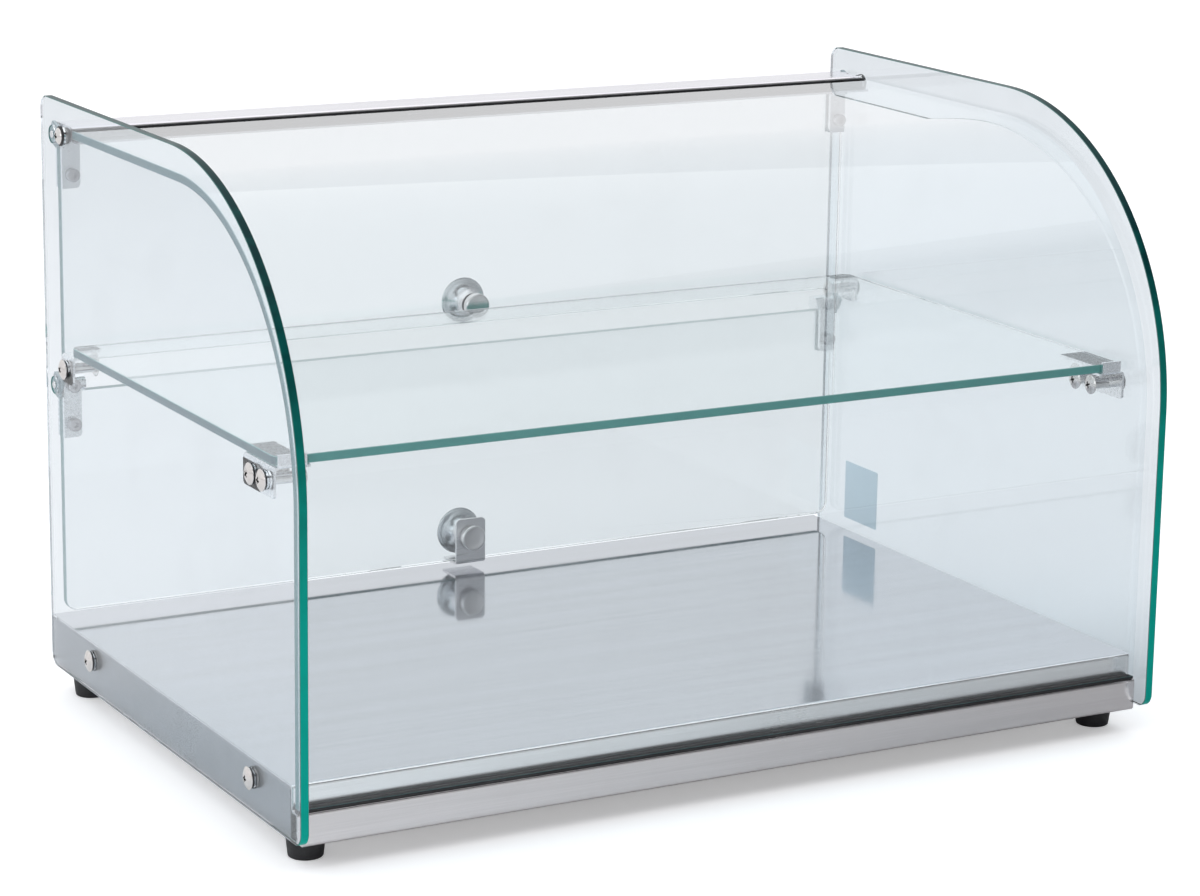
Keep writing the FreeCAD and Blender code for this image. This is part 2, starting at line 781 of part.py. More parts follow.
def hinge_pin(y, z):
    """Right hinge pin with a domed outer end."""
    start = Vec(door_half - pin_grip, y, z)
    end = Vec(outer_half + pin_proud, y, z)
    pin = rod(pin_radius, start, end)
    outer_edges = [edge for edge in pin.Edges if edge.BoundBox.XMin > end.x - 1e-6]
    return pin.makeFillet(pin_end_radius, outer_edges)


def hinge_clip(y, z):
    """Right clip: a barrel on the pivot axis and two legs that grip the door's edge."""
    outer_x = door_half
    barrel = rod(clip_half_t, Vec(outer_x - clip_barrel_length, y, z), Vec(outer_x, y, z))
    leg_outline = rectangle((outer_x - clip_width, outer_x), (z - clip_leg_length, z), 0)
    leg_outline[0] = leg_outline[0][:2] + (clip_corner_radius,)
    legs = rounded_face(leg_outline, xz_place(y - clip_half_t)).extrude(Vec(0, 2 * clip_half_t, 0))
    body = barrel.fuse(legs).removeSplitter()
    slot_half = door_t / 2.0 + clip_liner_t
    slot = box((outer_x - clip_barrel_length - tool_overrun, outer_x + tool_overrun),
               (y - slot_half, y + slot_half),
               (z - clip_leg_length - tool_overrun, z - door_top_below_pivot + clip_slot_gap))
    bore = rod(pin_radius, Vec(outer_x - pin_grip, y, z), Vec(outer_x + tool_overrun, y, z))
    tools = [slot, bore]
    for centre in clip_screw_centres(y, z):
        tools.append(rod(screw_shank_radius, centre, centre + Vec(0, clip_half_t - pin_radius, 0)))
    return cut_all(body, tools)


def clip_screw_centres(y, z):
    """Points on a right clip's inner face where its two screws enter."""
    x = door_half - clip_width / 2.0
    face_y = y - clip_half_t
    return [Vec(x, face_y, z), Vec(x, face_y, z - clip_screw_drop)]


def clip_screws(y, z):
    """Socket screws of both clips of a door: one locks the pin, the other clamps the glass."""
    screws = []
    lengths = (clip_half_t - pin_radius, clip_leg_t)
    for centre, length in zip(clip_screw_centres(y, z), lengths):
        tip = centre + Vec(0, length, 0)
        crown = centre - Vec(0, clip_screw_head_length, 0)
        head = rod(clip_screw_head_radius, crown, centre)
        screw = head.fuse(rod(screw_shank_radius, centre, tip)).removeSplitter()
        socket = rod(clip_socket_radius, crown, crown + Vec(0, clip_socket_depth, 0))
        screws.append(screw.cut(socket))
    return both_sides(screws)


def clip_liners(y, z):
    """Thin liners between the clips' legs and the door glass."""
    x_range = (door_half - clip_width, door_half)
    z_range = (z - clip_leg_length, z - door_top_below_pivot)
    near = door_t / 2.0
    far = near + clip_liner_t
    inner = box(x_range, (y - far, y - near), z_range)
    outer = box(x_range, (y + near, y + far), z_range)
    return both_sides([inner, outer])


def door_glass(y, pivot_z, bottom_z):
    """Door glass with the hole for its knob."""
    top_z = pivot_z - door_top_below_pivot
    corners = rectangle((-door_half, door_half), (bottom_z, top_z), door_corner_radius)
    top_radius = clip_corner_radius
    corners[2] = corners[2][:2] + (top_radius,)
    corners[3] = corners[3][:2] + (top_radius,)
    plate = rounded_face(corners, xz_place(y - door_t / 2.0)).extrude(Vec(0, door_t, 0))
    axis_z = bottom_z + knob_above_edge
    hole = rod(knob_hole_radius, Vec(0, y - door_t, axis_z), Vec(0, y + door_t, axis_z))
    return plate.cut(hole)


def door_knob(y, bottom_z):
    """Turned knob on the door's outer face: a flared neck that ends in a disc."""
    base = Vec(0, y + door_t / 2.0 + knob_washer_t, bottom_z + knob_above_edge)

    def spot(radius, height):
        return base + Vec(radius, height, 0)

    rim_low = knob_height - knob_crown - knob_rim
    foot_top = spot(knob_foot_radius, knob_foot_t)
    neck = spot(knob_neck_radius, knob_foot_t + knob_foot_slope)
    flare = spot(knob_flare_radius, knob_flare_height)
    under_rim = spot(knob_disc_radius - knob_rim, rim_low)
    rim_start = spot(knob_disc_radius, rim_low + knob_rim_slope)
    rim_end = spot(knob_disc_radius, rim_low + knob_rim)
    crown = spot(0, knob_height)
    crown_middle = spot(knob_disc_radius / 2.0, knob_height - dome_half_drop(knob_disc_radius, knob_crown))
    lines = [(base, spot(knob_foot_radius, 0)), (spot(knob_foot_radius, 0), foot_top), (foot_top, neck)]
    profile = [Part.LineSegment(start, end).toShape() for start, end in lines]
    profile.append(Part.Arc(neck, flare, under_rim).toShape())
    profile.append(Part.LineSegment(under_rim, rim_start).toShape())
    profile.append(Part.LineSegment(rim_start, rim_end).toShape())
    profile.append(Part.Arc(rim_end, crown_middle, crown).toShape())
    profile.append(Part.LineSegment(crown, base).toShape())
    body = revolved(profile, base, Vec(0, 1, 0))
    thread = rod(knob_stud_radius + thread_gap, base, base + Vec(0, knob_thread_depth, 0))
    return body.cut(thread)


def knob_cap(y, bottom_z, behind):
    """Round cap and stud on the door's inner face; behind is the plate between them."""
    z = bottom_z + knob_above_edge
    seat = Vec(0, y - door_t / 2.0 - knob_washer_t - behind, z)
    face = seat - Vec(0, knob_cap_t, 0)
    cap = rod(knob_cap_radius, face, seat)
    face_edges = [edge for edge in cap.Edges if edge.BoundBox.YMax < face.y + 1e-6]
    cap = cap.makeFillet(knob_cap_edge_radius, face_edges)
    tip = Vec(0, y + door_t / 2.0 + knob_washer_t + knob_thread_depth - knob_stud_end_gap, z)
    return cap.fuse(rod(knob_stud_radius, seat, tip)).removeSplitter()


def knob_washers(y, bottom_z, behind):
    """Thin dark washers under the knob and under the cap."""
    z = bottom_z + knob_above_edge
    hole = knob_stud_radius + through_gap
    rings = []
    for start_y in (y + door_t / 2.0, y - door_t / 2.0 - behind - knob_washer_t):
        start = Vec(0, start_y, z)
        rings.append(ring(knob_washer_radius, hole, start, start + Vec(0, knob_washer_t, 0)))
    return Part.makeCompound(rings)


def catch_plate():
    """Folded plate on the lower door: upright behind the knob's cap, foot under the glass."""
    inner_y = lower_door_y - door_t / 2.0 - catch_sheet
    foot_z = lower_door_bottom - catch_edge_gap - bend_radius - catch_sheet
    top_z = lower_door_bottom + catch_rise
    path = [(inner_y + catch_reach, foot_z), (inner_y, foot_z), (inner_y, top_z)]
    section = folded_face(path, catch_sheet, yz_place(-catch_width / 2.0))
    body = section.extrude(Vec(catch_width, 0, 0))
    outline = rectangle((-catch_width / 2.0, catch_width / 2.0), (foot_z, top_z), 0)
    outline[2] = outline[2][:2] + (catch_corner_radius,)
    outline[3] = outline[3][:2] + (catch_corner_radius,)
    keep = rounded_face(outline, xz_place(inner_y)).extrude(Vec(0, catch_reach, 0))
    axis_z = lower_door_bottom + knob_above_edge
    hole = rod(knob_stud_radius + through_gap, Vec(0, inner_y - tool_overrun, axis_z),
               Vec(0, inner_y + catch_sheet + tool_overrun, axis_z))
    return body.common(keep).cut(hole)


def label():
    """Blank label on the outside of the right side glass, low at the rear."""
    high_y = side_rear - label_rear_inset
    low_z = base_top + label_above_base
    outline = rectangle((high_y - label_size, high_y), (low_z, low_z + label_size), label_corner_radius)
    return rounded_face(outline, yz_place(outer_half)).extrude(Vec(label_t, 0, 0))


def add_sided(nodes, name, right_shape):
    """Add a right-hand shape and its left-hand mirror under name_right and name_left."""
    nodes[name + "_right"] = right_shape
    nodes[name + "_left"] = mirrored(right_shape)


def add_door(nodes, name, y, pivot_z, bottom_z, behind_cap):
    """Add every piece that swings with one door, and the bushes that carry it."""
    nodes[name + "_door_glass"] = door_glass(y, pivot_z, bottom_z)
    nodes[name + "_door_knob"] = door_knob(y, bottom_z)
    nodes[name + "_knob_cap"] = knob_cap(y, bottom_z, behind_cap)
    nodes[name + "_knob_washers"] = knob_washers(y, bottom_z, behind_cap)
    nodes[name + "_clip_screws"] = clip_screws(y, pivot_z)
    nodes[name + "_clip_liners"] = clip_liners(y, pivot_z)
    add_sided(nodes, name + "_hinge_clip", hinge_clip(y, pivot_z))
    add_sided(nodes, name + "_hinge_pin", hinge_pin(y, pivot_z))
    add_sided(nodes, name + "_hinge_bush", hinge_bush(y, pivot_z))


def build_nodes():
    """Every node of the showcase, by name."""
    nodes = {
        "base_shell": base_shell(),
        "base_floor_plate": base_floor(),
        "foot_screws": foot_screws(),
        "foot_nuts": foot_nuts(),
        "curved_front_glass": front_glass(),
        "front_glass_seat": front_seat(),
        "top_edge_seal": top_seal(),
        "glass_shelf": shelf(),
        "top_rail": rail(),
        "shelf_sleeves": shelf_sleeves(),
        "shelf_outer_screws": shelf_outer_screws(),
        "shelf_inner_screws": shelf_inner_screws(),
        "base_side_screws": base_screws(),
        "base_weld_nuts": base_nuts(),
        "rail_end_screws": rail_screws(),
        "rail_end_nuts": rail_nuts(),
        "outer_washers": outer_washers(),
        "spacer_washers": spacer_washers(),
        "lower_door_catch_plate": catch_plate(),
        "blank_label": label(),
    }
    add_sided(nodes, "side_glass", side_glass())
    add_sided(nodes, "base_side_panel", base_side_panel())
    add_sided(nodes, "front_shelf_bracket", front_bracket())
    add_sided(nodes, "rear_shelf_bracket", rear_bracket())
    for name, (x, y) in foot_places().items():
        nodes["foot_" + name] = foot(x, y)
    add_door(nodes, "upper", upper_door_y, upper_pivot_z, upper_door_bottom, 0.0)
    add_door(nodes, "lower", lower_door_y, lower_pivot_z, lower_door_bottom, catch_sheet)
    return nodes


os.makedirs("parts", exist_ok=True)
for node_name, node_shape in build_nodes().items():
    if not node_shape.isValid():
        raise ValueError(node_name + " is not a valid shape")
    node_shape.exportStep("parts/" + node_name + ".step")
    print(node_name, len(node_shape.Solids), round(node_shape.Volume, 1))
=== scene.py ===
"""Looks of a countertop glass showcase with a curved front and rear doors that swing up."""

import json
import logging
import math
from collections.abc import Callable, Iterable, Sequence
from dataclasses import dataclass, field
from enum import Enum

import bmesh
import bpy
from mathutils import Matrix, Vector


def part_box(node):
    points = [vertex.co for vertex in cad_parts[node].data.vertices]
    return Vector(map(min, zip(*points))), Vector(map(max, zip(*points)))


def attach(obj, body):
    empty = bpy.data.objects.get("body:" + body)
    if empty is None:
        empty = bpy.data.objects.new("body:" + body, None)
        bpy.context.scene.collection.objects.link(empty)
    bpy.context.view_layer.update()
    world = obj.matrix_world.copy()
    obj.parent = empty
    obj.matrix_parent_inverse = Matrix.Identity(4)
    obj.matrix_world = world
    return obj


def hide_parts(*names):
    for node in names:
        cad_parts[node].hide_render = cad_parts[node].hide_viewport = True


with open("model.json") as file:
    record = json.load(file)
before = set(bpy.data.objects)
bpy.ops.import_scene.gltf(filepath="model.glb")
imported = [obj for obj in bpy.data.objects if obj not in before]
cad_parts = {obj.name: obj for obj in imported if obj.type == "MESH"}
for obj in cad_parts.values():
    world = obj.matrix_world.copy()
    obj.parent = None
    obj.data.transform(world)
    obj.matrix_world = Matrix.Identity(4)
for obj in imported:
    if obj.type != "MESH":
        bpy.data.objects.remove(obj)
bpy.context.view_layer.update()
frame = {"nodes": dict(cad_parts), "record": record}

LOG = logging.getLogger("showcase")
MM = 0.001
UNTURNED = (0.0, 0.0, 0.0)
ALONG_X = (0.0, math.pi / 2.0, 0.0)
ALONG_Y = (math.pi / 2.0, 0.0, 0.0)
RIGHT = Vector((1.0, 0.0, 0.0))
REARWARD = Vector((0.0, 1.0, 0.0))
UP = Vector((0.0, 0.0, 1.0))
LEVELS = ("upper", "lower")
SIDES = ("left", "right")
ROWS = ("front", "rear")
ROUND_STEPS = 48
SCREW_STEPS = 40
CAP_STEPS = 56
KNOB_STEPS = 72
PANE_ANGLE = 20.0
CUT_ANGLE = 32.0
TURNED_ANGLE = 35.0
Colour = tuple[float, float, float]
Box = tuple[Vector, Vector]
WHITE: Colour = (1.0, 1.0, 1.0)
BLACK: Colour = (0.0, 0.0, 0.0)


class Axis(Enum):
    """The three axes, as vector indexes."""

    X = 0
    Y = 1
    Z = 2


class Ray(Enum):
    """Outputs of the Light Path node that glass lets straight through."""

    SHADOW = "Is Shadow Ray"
    DIFFUSE = "Is Diffuse Ray"


# ---------------------------------------------------------------- shader node helpers


class Tree:
    """A node tree being built, with short ways to add and join nodes."""

    def __init__(self, tree: bpy.types.NodeTree) -> None:
        """Start on a tree and clear it.

        Args:
            tree: The node tree to fill.
        """
        self.tree = tree
        tree.nodes.clear()

    def add(self, kind: str, **settings: object) -> bpy.types.Node:
        """Add a node.

        Args:
            kind: The node's type without the ShaderNode prefix.
            **settings: Properties to set on the node.

        Returns:
            The new node.
        """
        node = self.tree.nodes.new("ShaderNode" + kind)
        for name, value in settings.items():
            setattr(node, name, value)
        return node

    def link(self, value: bpy.types.NodeSocket, socket: bpy.types.NodeSocket) -> None:
        """Join an output to an input."""
        self.tree.links.new(value, socket)

    def set(self, node: bpy.types.Node, **values: object) -> None:
        """Set or link inputs by name, with underscores for spaces.

        Args:
            node: The node whose inputs are set.
            **values: Numbers, colours or output sockets, by input name.
        """
        for name, value in values.items():
            socket = node.inputs[name.replace("_", " ")]
            if isinstance(value, bpy.types.NodeSocket):
                self.link(value, socket)
            else:
                socket.default_value = value

    def math(self, operation: str, *values: object) -> bpy.types.NodeSocket:
        """Add a Math node.

        Args:
            operation: The node's operation.
            *values: Numbers or sockets for its inputs, in order.

        Returns:
            The node's output.
        """
        node = self.add("Math", operation=operation)
        for socket, value in zip(node.inputs, values):
            if isinstance(value, bpy.types.NodeSocket):
                self.link(value, socket)
            else:
                socket.default_value = value
        return node.outputs[0]

    def span(self, value: bpy.types.NodeSocket, low: float, high: float, to_low: float = 0.0,
             to_high: float = 1.0) -> bpy.types.NodeSocket:
        """Map a value from one range onto another, smoothly and clamped.

        Args:
            value: The value to map.
            low: Where the result starts.
            high: Where the result ends.
            to_low: The result at low.
            to_high: The result at high.

        Returns:
            The mapped value.
        """
        node = self.add("MapRange", interpolation_type="SMOOTHSTEP")
        self.set(node, Value=value, From_Min=low, From_Max=high, To_Min=to_low, To_Max=to_high)
        return node.outputs["Result"]

    def blend(self, factor: object, first: object, second: object) -> bpy.types.NodeSocket:
        """Mix two colours.

        Args:
            factor: The share of the second colour.
            first: A colour or a socket.
            second: A colour or a socket.

        Returns:
            The mixed colour.
        """
        node = self.add("Mix", data_type="RGBA")
        for index, value in ((0, factor), (6, first), (7, second)):
            if isinstance(value, bpy.types.NodeSocket):
                self.link(value, node.inputs[index])
            else:
                node.inputs[index].default_value = (*value, 1.0) if index else value
        return node.outputs[2]

    def noise(self, place: bpy.types.NodeSocket, scale: float, detail: float = 2.0,
              rough: float = 0.5) -> bpy.types.NodeSocket:
        """Add a noise texture.

        Args:
            place: Coordinates that it reads.
            scale: Its scale, per metre.
            detail: Its detail.
            rough: Its roughness.

        Returns:
            The noise value.
        """
        node = self.add("TexNoise")
        self.set(node, Vector=place, Scale=scale, Detail=detail, Roughness=rough)
        return node.outputs[0]

    def stretch(self, place: bpy.types.NodeSocket, scale: Sequence[float]) -> bpy.types.NodeSocket:
        """Scale coordinates along each axis.

        Args:
            place: The coordinates.
            scale: The scale on X, Y and Z.

        Returns:
            The scaled coordinates.
        """
        node = self.add("VectorMath", operation="MULTIPLY")
        self.link(place, node.inputs[0])
        node.inputs[1].default_value = scale
        return node.outputs[0]


def open_group(name: str, inputs: dict[str, tuple[str, object]], outputs: Iterable[str]) -> tuple[
        bpy.types.NodeTree, Tree, bpy.types.Node, bpy.types.Node]:
    """Start a shader node group with named sockets.

    Args:
        name: The group's name.
        inputs: Socket type and default value of each input, by name.
        outputs: Names of the float outputs.

    Returns:
        The group, its builder, its input node and its output node.
    """
    group = bpy.data.node_groups.new(name, "ShaderNodeTree")
    for title, (kind, value) in inputs.items():
        socket = group.interface.new_socket(title, in_out="INPUT", socket_type=kind)
        if value is not None:
            socket.default_value = value
    for title in outputs:
        group.interface.new_socket(title, in_out="OUTPUT", socket_type="NodeSocketFloat")
    tree = Tree(group)
    return group, tree, group.nodes.new("NodeGroupInput"), group.nodes.new("NodeGroupOutput")


class Effects:
    """Node groups that several finishes share, each built once."""

    def __init__(self) -> None:
        """Build every group."""
        self.grain = self._grain()
        self.turning = self._turning()
        self.handling = self._handling()

    def _grain(self) -> bpy.types.NodeTree:
        """Brushed grain: long fine streaks along one axis.

        Returns:
            The group, with Tone, Rough and Height outputs.
        """
        group, tree, start, end = open_group(
            "BrushedGrain",
            {"Place": ("NodeSocketVector", None), "Fineness": ("NodeSocketFloat", 1.0)},
            ("Tone", "Rough", "Height"))
        place = tree.add("VectorMath", operation="SCALE")
        tree.link(start.outputs["Place"], place.inputs[0])
        tree.link(start.outputs["Fineness"], place.inputs["Scale"])
        fine = tree.noise(tree.stretch(place.outputs[0], (14.0, 1500.0, 1500.0)), 1.0, 3.0, 0.6)
        broad = tree.noise(tree.stretch(place.outputs[0], (3.0, 90.0, 90.0)), 1.0, 2.0)
        cloud = tree.noise(start.outputs["Place"], 7.0, 2.0)
        for title, share, other in (("Tone", 0.55, broad), ("Rough", 0.4, cloud)):
            mixed = tree.math("ADD", tree.math("MULTIPLY", fine, share),
                              tree.math("MULTIPLY", other, 1.0 - share))
            tree.link(tree.span(mixed, 0.3, 0.7), end.inputs[title])
        tree.link(fine, end.inputs["Height"])
        return group

    def _turning(self) -> bpy.types.NodeTree:
        """Turned grain: fine rings about the middle of the coordinates, across the Y axis.

        Returns:
            The group, with Tone and Height outputs.
        """
        group, tree, start, end = open_group(
            "TurnedGrain", {"Place": ("NodeSocketVector", None)}, ("Tone", "Height"))
        length = tree.add("VectorMath", operation="LENGTH")
        tree.link(tree.stretch(start.outputs["Place"], (1.0, 0.0, 1.0)), length.inputs[0])
        ring = tree.add("CombineXYZ")
        tree.set(ring, X=length.outputs["Value"])
        fine = tree.noise(ring.outputs[0], 5200.0, 3.0, 0.65)
        tree.link(tree.span(fine, 0.3, 0.7), end.inputs["Tone"])
        tree.link(fine, end.inputs["Height"])
        return group

    def _handling(self) -> bpy.types.NodeTree:
        """Handling marks: soft smudges and sparse specks.

        Returns:
            The group, with Smudge and Speck outputs.
        """
        group, tree, start, end = open_group(
            "HandlingMarks", {"Place": ("NodeSocketVector", None)}, ("Smudge", "Speck"))
        soft = tree.noise(start.outputs["Place"], 16.0, 4.0, 0.6)
        tree.link(tree.span(soft, 0.5, 0.75), end.inputs["Smudge"])
        cell = tree.add("TexVoronoi", feature="F1")
        tree.set(cell, Vector=start.outputs["Place"], Scale=34.0)
        spot = tree.span(cell.outputs["Distance"], 0.02, 0.035, 1.0, 0.0)
        few = tree.span(tree.noise(start.outputs["Place"], 11.0, 1.0), 0.56, 0.6)
        tree.link(tree.math("MULTIPLY", spot, few), end.inputs["Speck"])
        return group


class Recipe:
    """A material being built: its tree, its object coordinates and its output."""

    def __init__(self, name: str, effects: Effects) -> None:
        """Make an empty material.

        Args:
            name: The material's name.
            effects: The shared node groups.
        """
        self.material = bpy.data.materials.new(name)
        self.material.use_nodes = True
        self.tree = Tree(self.material.node_tree)
        self.effects = effects
        self.place = self.tree.add("TexCoord").outputs["Object"]
        self.output = self.tree.add("OutputMaterial")

    def group(self, group: bpy.types.NodeTree, **values: object) -> bpy.types.Node:
        """Add a shared group to the material.

        Args:
            group: The node group.
            **values: Its inputs, by name.

        Returns:
            The group's node.
        """
        node = self.tree.add("Group", node_tree=group)
        self.tree.set(node, **values)
        return node

    def principled(self, **values: object) -> bpy.types.Node:
        """Add a Principled BSDF.

        Args:
            **values: Its inputs, by name.

        Returns:
            The shader node.
        """
        node = self.tree.add("BsdfPrincipled")
        self.tree.set(node, **values)
        return node

    def bump(self, height: bpy.types.NodeSocket, strength: float, depth: float) -> bpy.types.NodeSocket:
        """Add a Bump node.

        Args:
            height: The height that it reads.
            strength: Its strength.
            depth: How far a height of 1 stands out, in metres.

        Returns:
            The bumped normal.
        """
        node = self.tree.add("Bump")
        self.tree.set(node, Height=height, Strength=strength, Distance=depth)
        return node.outputs[0]

    def finish(self, shader: bpy.types.NodeSocket) -> bpy.types.Material:
        """Join a shader to the output.

        Args:
            shader: The surface shader.

        Returns:
            The finished material.
        """
        self.tree.link(shader, self.output.inputs["Surface"])
        return self.material


def rgba(colour: Colour) -> tuple[float, float, float, float]:
    """A colour with full alpha."""
    return (*colour, 1.0)


# ---------------------------------------------------------------- finishes


@dataclass(frozen=True)
class BrushedSteel:
    """Brushed sheet steel with its grain along X, and optionally its front bands painted lighter as a
    painted reflection.
    """

    name: str
    colour: Colour
    shade: Colour
    roughness: tuple[float, float] = (0.14, 0.24)
    bump: float = 0.012
    fineness: float = 1.0
    painted_front_below: float = 0.0
    lower_band_painted_light: Colour = (0.7, 0.68, 0.69)
    painted_top_band_from: float = 0.0
    top_band_painted_light: Colour = (1.0, 0.985, 0.985)
    band_roughness: float = 0.14
    speck: Colour = (0.2, 0.21, 0.23)

    def make(self, effects: Effects) -> bpy.types.Material:
        """Build the material.

        Args:
            effects: The shared node groups.

        Returns:
            The material.
        """
        made = Recipe(self.name, effects)
        grain = made.group(effects.grain, Place=made.place, Fineness=self.fineness)
        marks = made.group(effects.handling, Place=made.place)
        tree = made.tree
        colour = tree.blend(grain.outputs["Tone"], self.shade, self.colour)
        colour = tree.blend(tree.math("MULTIPLY", marks.outputs["Speck"], 0.35), colour, self.speck)
        rough = tree.math("ADD", tree.span(grain.outputs["Rough"], 0.0, 1.0, *self.roughness),
                          tree.math("MULTIPLY", marks.outputs["Smudge"], 0.05))
        # Painted light: below the top face the same steel takes lighter base colours, the upper band
        # lightest, standing in for brighter reflections.
        if self.painted_front_below:
            split = tree.add("SeparateXYZ")
            tree.set(split, Vector=made.place)
            low = tree.math("LESS_THAN", split.outputs["Z"], self.painted_front_below)
            upper = tree.math("GREATER_THAN", split.outputs["Z"], self.painted_top_band_from)
            band = tree.blend(upper, self.lower_band_painted_light, self.top_band_painted_light)
            streaked_painted_light = tree.blend(grain.outputs["Tone"], tree.blend(0.12, band, BLACK), band)
            colour = tree.blend(low, colour, streaked_painted_light)
            rough = tree.math("ADD", rough, tree.math("MULTIPLY", low, self.band_roughness))
        shader = made.principled(Base_Color=colour, Metallic=1.0, Roughness=rough,
                                 Normal=made.bump(grain.outputs["Height"], self.bump, 0.00002))
        return made.finish(shader.outputs[0])


@dataclass(frozen=True)
class PlatedMetal:
    """Plated or polished small metal parts, with painted shade on faces marked as a recess."""

    name: str
    colour: Colour
    roughness: tuple[float, float] = (0.12, 0.24)
    mottle: float = 420.0
    shade: float = 0.9
    smudge: float = 0.08
    # The colour of the painted shade in recesses.
    recess: Colour = (0.03, 0.028, 0.027)

    def make(self, effects: Effects) -> bpy.types.Material:
        """Build the material.

        Args:
            effects: The shared node groups.

        Returns:
            The material.
        """
        made = Recipe(self.name, effects)
        tree = made.tree
        marks = made.group(effects.handling, Place=made.place)
        fine = tree.noise(made.place, self.mottle, 4.0, 0.6)
        shade = tuple(self.shade * part for part in self.colour)
        colour = tree.blend(tree.span(fine, 0.35, 0.65), shade, self.colour)
        rough = tree.math("ADD", tree.span(fine, 0.3, 0.7, *self.roughness),
                          tree.math("MULTIPLY", marks.outputs["Smudge"], self.smudge))
        # Painted shade: faces marked as a recess are darkened almost to black.
        painted_recess_shade = tree.add("Attribute", attribute_name="recess")
        colour = tree.blend(painted_recess_shade.outputs["Fac"], colour, self.recess)
        shader = made.principled(Base_Color=colour, Metallic=1.0, Roughness=rough,
                                 Normal=made.bump(fine, 0.02, 0.00001))
        return made.finish(shader.outputs[0])


@dataclass(frozen=True)
class TurnedMetal:
    """Metal turned about an axis along Y, with fine rings."""

    name: str
    colour: Colour
    centre: tuple[float, float, float]
    roughness: tuple[float, float] = (0.16, 0.3)
    shade: float = 0.8
    smudge: float = 0.06

    def make(self, effects: Effects) -> bpy.types.Material:
        """Build the material.

        Args:
            effects: The shared node groups.

        Returns:
            The material.
        """
        made = Recipe(self.name, effects)
        tree = made.tree
        centred = tree.add("Mapping")
        tree.set(centred, Vector=made.place, Location=tuple(-part for part in self.centre))
        rings = made.group(effects.turning, Place=centred.outputs[0])
        marks = made.group(effects.handling, Place=made.place)
        shade = tuple(self.shade * part for part in self.colour)
        colour = tree.blend(rings.outputs["Tone"], shade, self.colour)
        rough = tree.math("ADD", tree.span(rings.outputs["Tone"], 0.0, 1.0, *self.roughness),
                          tree.math("MULTIPLY", marks.outputs["Smudge"], self.smudge))
        shader = made.principled(Base_Color=colour, Metallic=1.0, Roughness=rough,
                                 Normal=made.bump(rings.outputs["Height"], 0.25, 0.00003))
        return made.finish(shader.outputs[0])


@dataclass(frozen=True)
class PaneGlass:
    """Float glass: a pale clear face, green polished edges whose colour ramps along one axis with painted
    light and shade, and arrises painted lighter as a highlight.
    """

    name: str
    tint: Colour
    edge_low: Colour
    edge_high: Colour
    edge_span: tuple[float, float] = (0.10, 0.33)
    arris: Colour = (0.22, 0.4, 0.38)
    edge_axis: Axis = Axis.Z
    bent: bool = False
    index: float = 1.5

    def flat_face(self, made: Recipe) -> bpy.types.NodeSocket:
        """Build the face of a flat pane, with faint smudges.

        Args:
            made: The material being built.

        Returns:
            The face's shader.
        """
        marks = made.group(made.effects.handling, Place=made.place)
        dusty = tuple(0.975 * part for part in self.tint)
        return made.principled(Base_Color=made.tree.blend(marks.outputs["Smudge"], self.tint, dusty),
                               Roughness=0.0, IOR=self.index, Transmission_Weight=1.0).outputs[0]

    def bent_face(self, made: Recipe, front: bpy.types.NodeSocket) -> bpy.types.NodeSocket:
        """Build the face of a bent pane, which shifts what is behind it very little.

        Args:
            made: The material being built.
            front: 1 on faces that look towards the ray.

        Returns:
            The face's shader.
        """
        tree = made.tree
        clear = tree.add("BsdfTransparent")
        tree.set(clear, Color=rgba(tuple(math.sqrt(part) for part in self.tint)))
        shine = made.principled(Base_Color=rgba(WHITE), Metallic=1.0, Roughness=0.0)
        once = tree.add("Fresnel")
        tree.set(once, IOR=self.index)
        both = tree.math("DIVIDE", tree.math("MULTIPLY", once.outputs[0], 2.0),
                         tree.math("ADD", once.outputs[0], 1.0))
        face = tree.add("MixShader")
        tree.set(face, Fac=tree.math("MULTIPLY", both, front))
        tree.link(clear.outputs[0], face.inputs[1])
        tree.link(shine.outputs[0], face.inputs[2])
        return face.outputs[0]

    def make(self, effects: Effects) -> bpy.types.Material:
        """Build the material.

        Args:
            effects: The shared node groups.

        Returns:
            The material.
        """
        made = Recipe(self.name, effects)
        tree = made.tree
        front = tree.math("SUBTRACT", 1.0, tree.add("NewGeometry").outputs["Backfacing"])
        face = self.bent_face(made, front) if self.bent else self.flat_face(made)
        split = tree.add("SeparateXYZ")
        tree.set(split, Vector=made.place)
        # Painted light and shade on the edges: their colour ramps from the low to the high colour along one
        # axis. On the side glass this gives a painted highlight low down and painted shade at the top.
        rise = tree.span(split.outputs[self.edge_axis.value], *self.edge_span)
        ground = tree.noise(made.place, 60.0, 3.0)
        rise = tree.math("ADD", rise, tree.span(ground, 0.3, 0.7, -0.07, 0.07))
        edge_colour = tree.blend(rise, self.edge_low, self.edge_high)
        band = tree.add("Attribute", attribute_name="pane_edge")
        # Painted highlight: arris faces take the lighter arris colour.
        arris = tree.math("COMPARE", band.outputs["Fac"], 0.5, 0.2)
        edge_colour = tree.blend(arris, edge_colour, self.arris)
        edge = made.principled(Base_Color=edge_colour, Roughness=0.3, IOR=self.index,
                               Specular_IOR_Level=0.08)
        on_edge = tree.math("MULTIPLY", tree.math("GREATER_THAN", band.outputs["Fac"], 0.25), front)
        body = tree.add("MixShader")
        tree.set(body, Fac=on_edge)
        tree.link(face, body.inputs[1])
        tree.link(edge.outputs[0], body.inputs[2])
        light = tree.add("LightPath")
        passing = tree.math("MAXIMUM", *(light.outputs[ray.value] for ray in Ray))
        through = tree.add("BsdfTransparent")
        tree.set(through, Color=rgba(self.tint))
        glass = tree.add("MixShader")
        tree.set(glass, Fac=passing)
        tree.link(body.outputs[0], glass.inputs[1])
        tree.link(through.outputs[0], glass.inputs[2])
        return made.finish(glass.outputs[0])


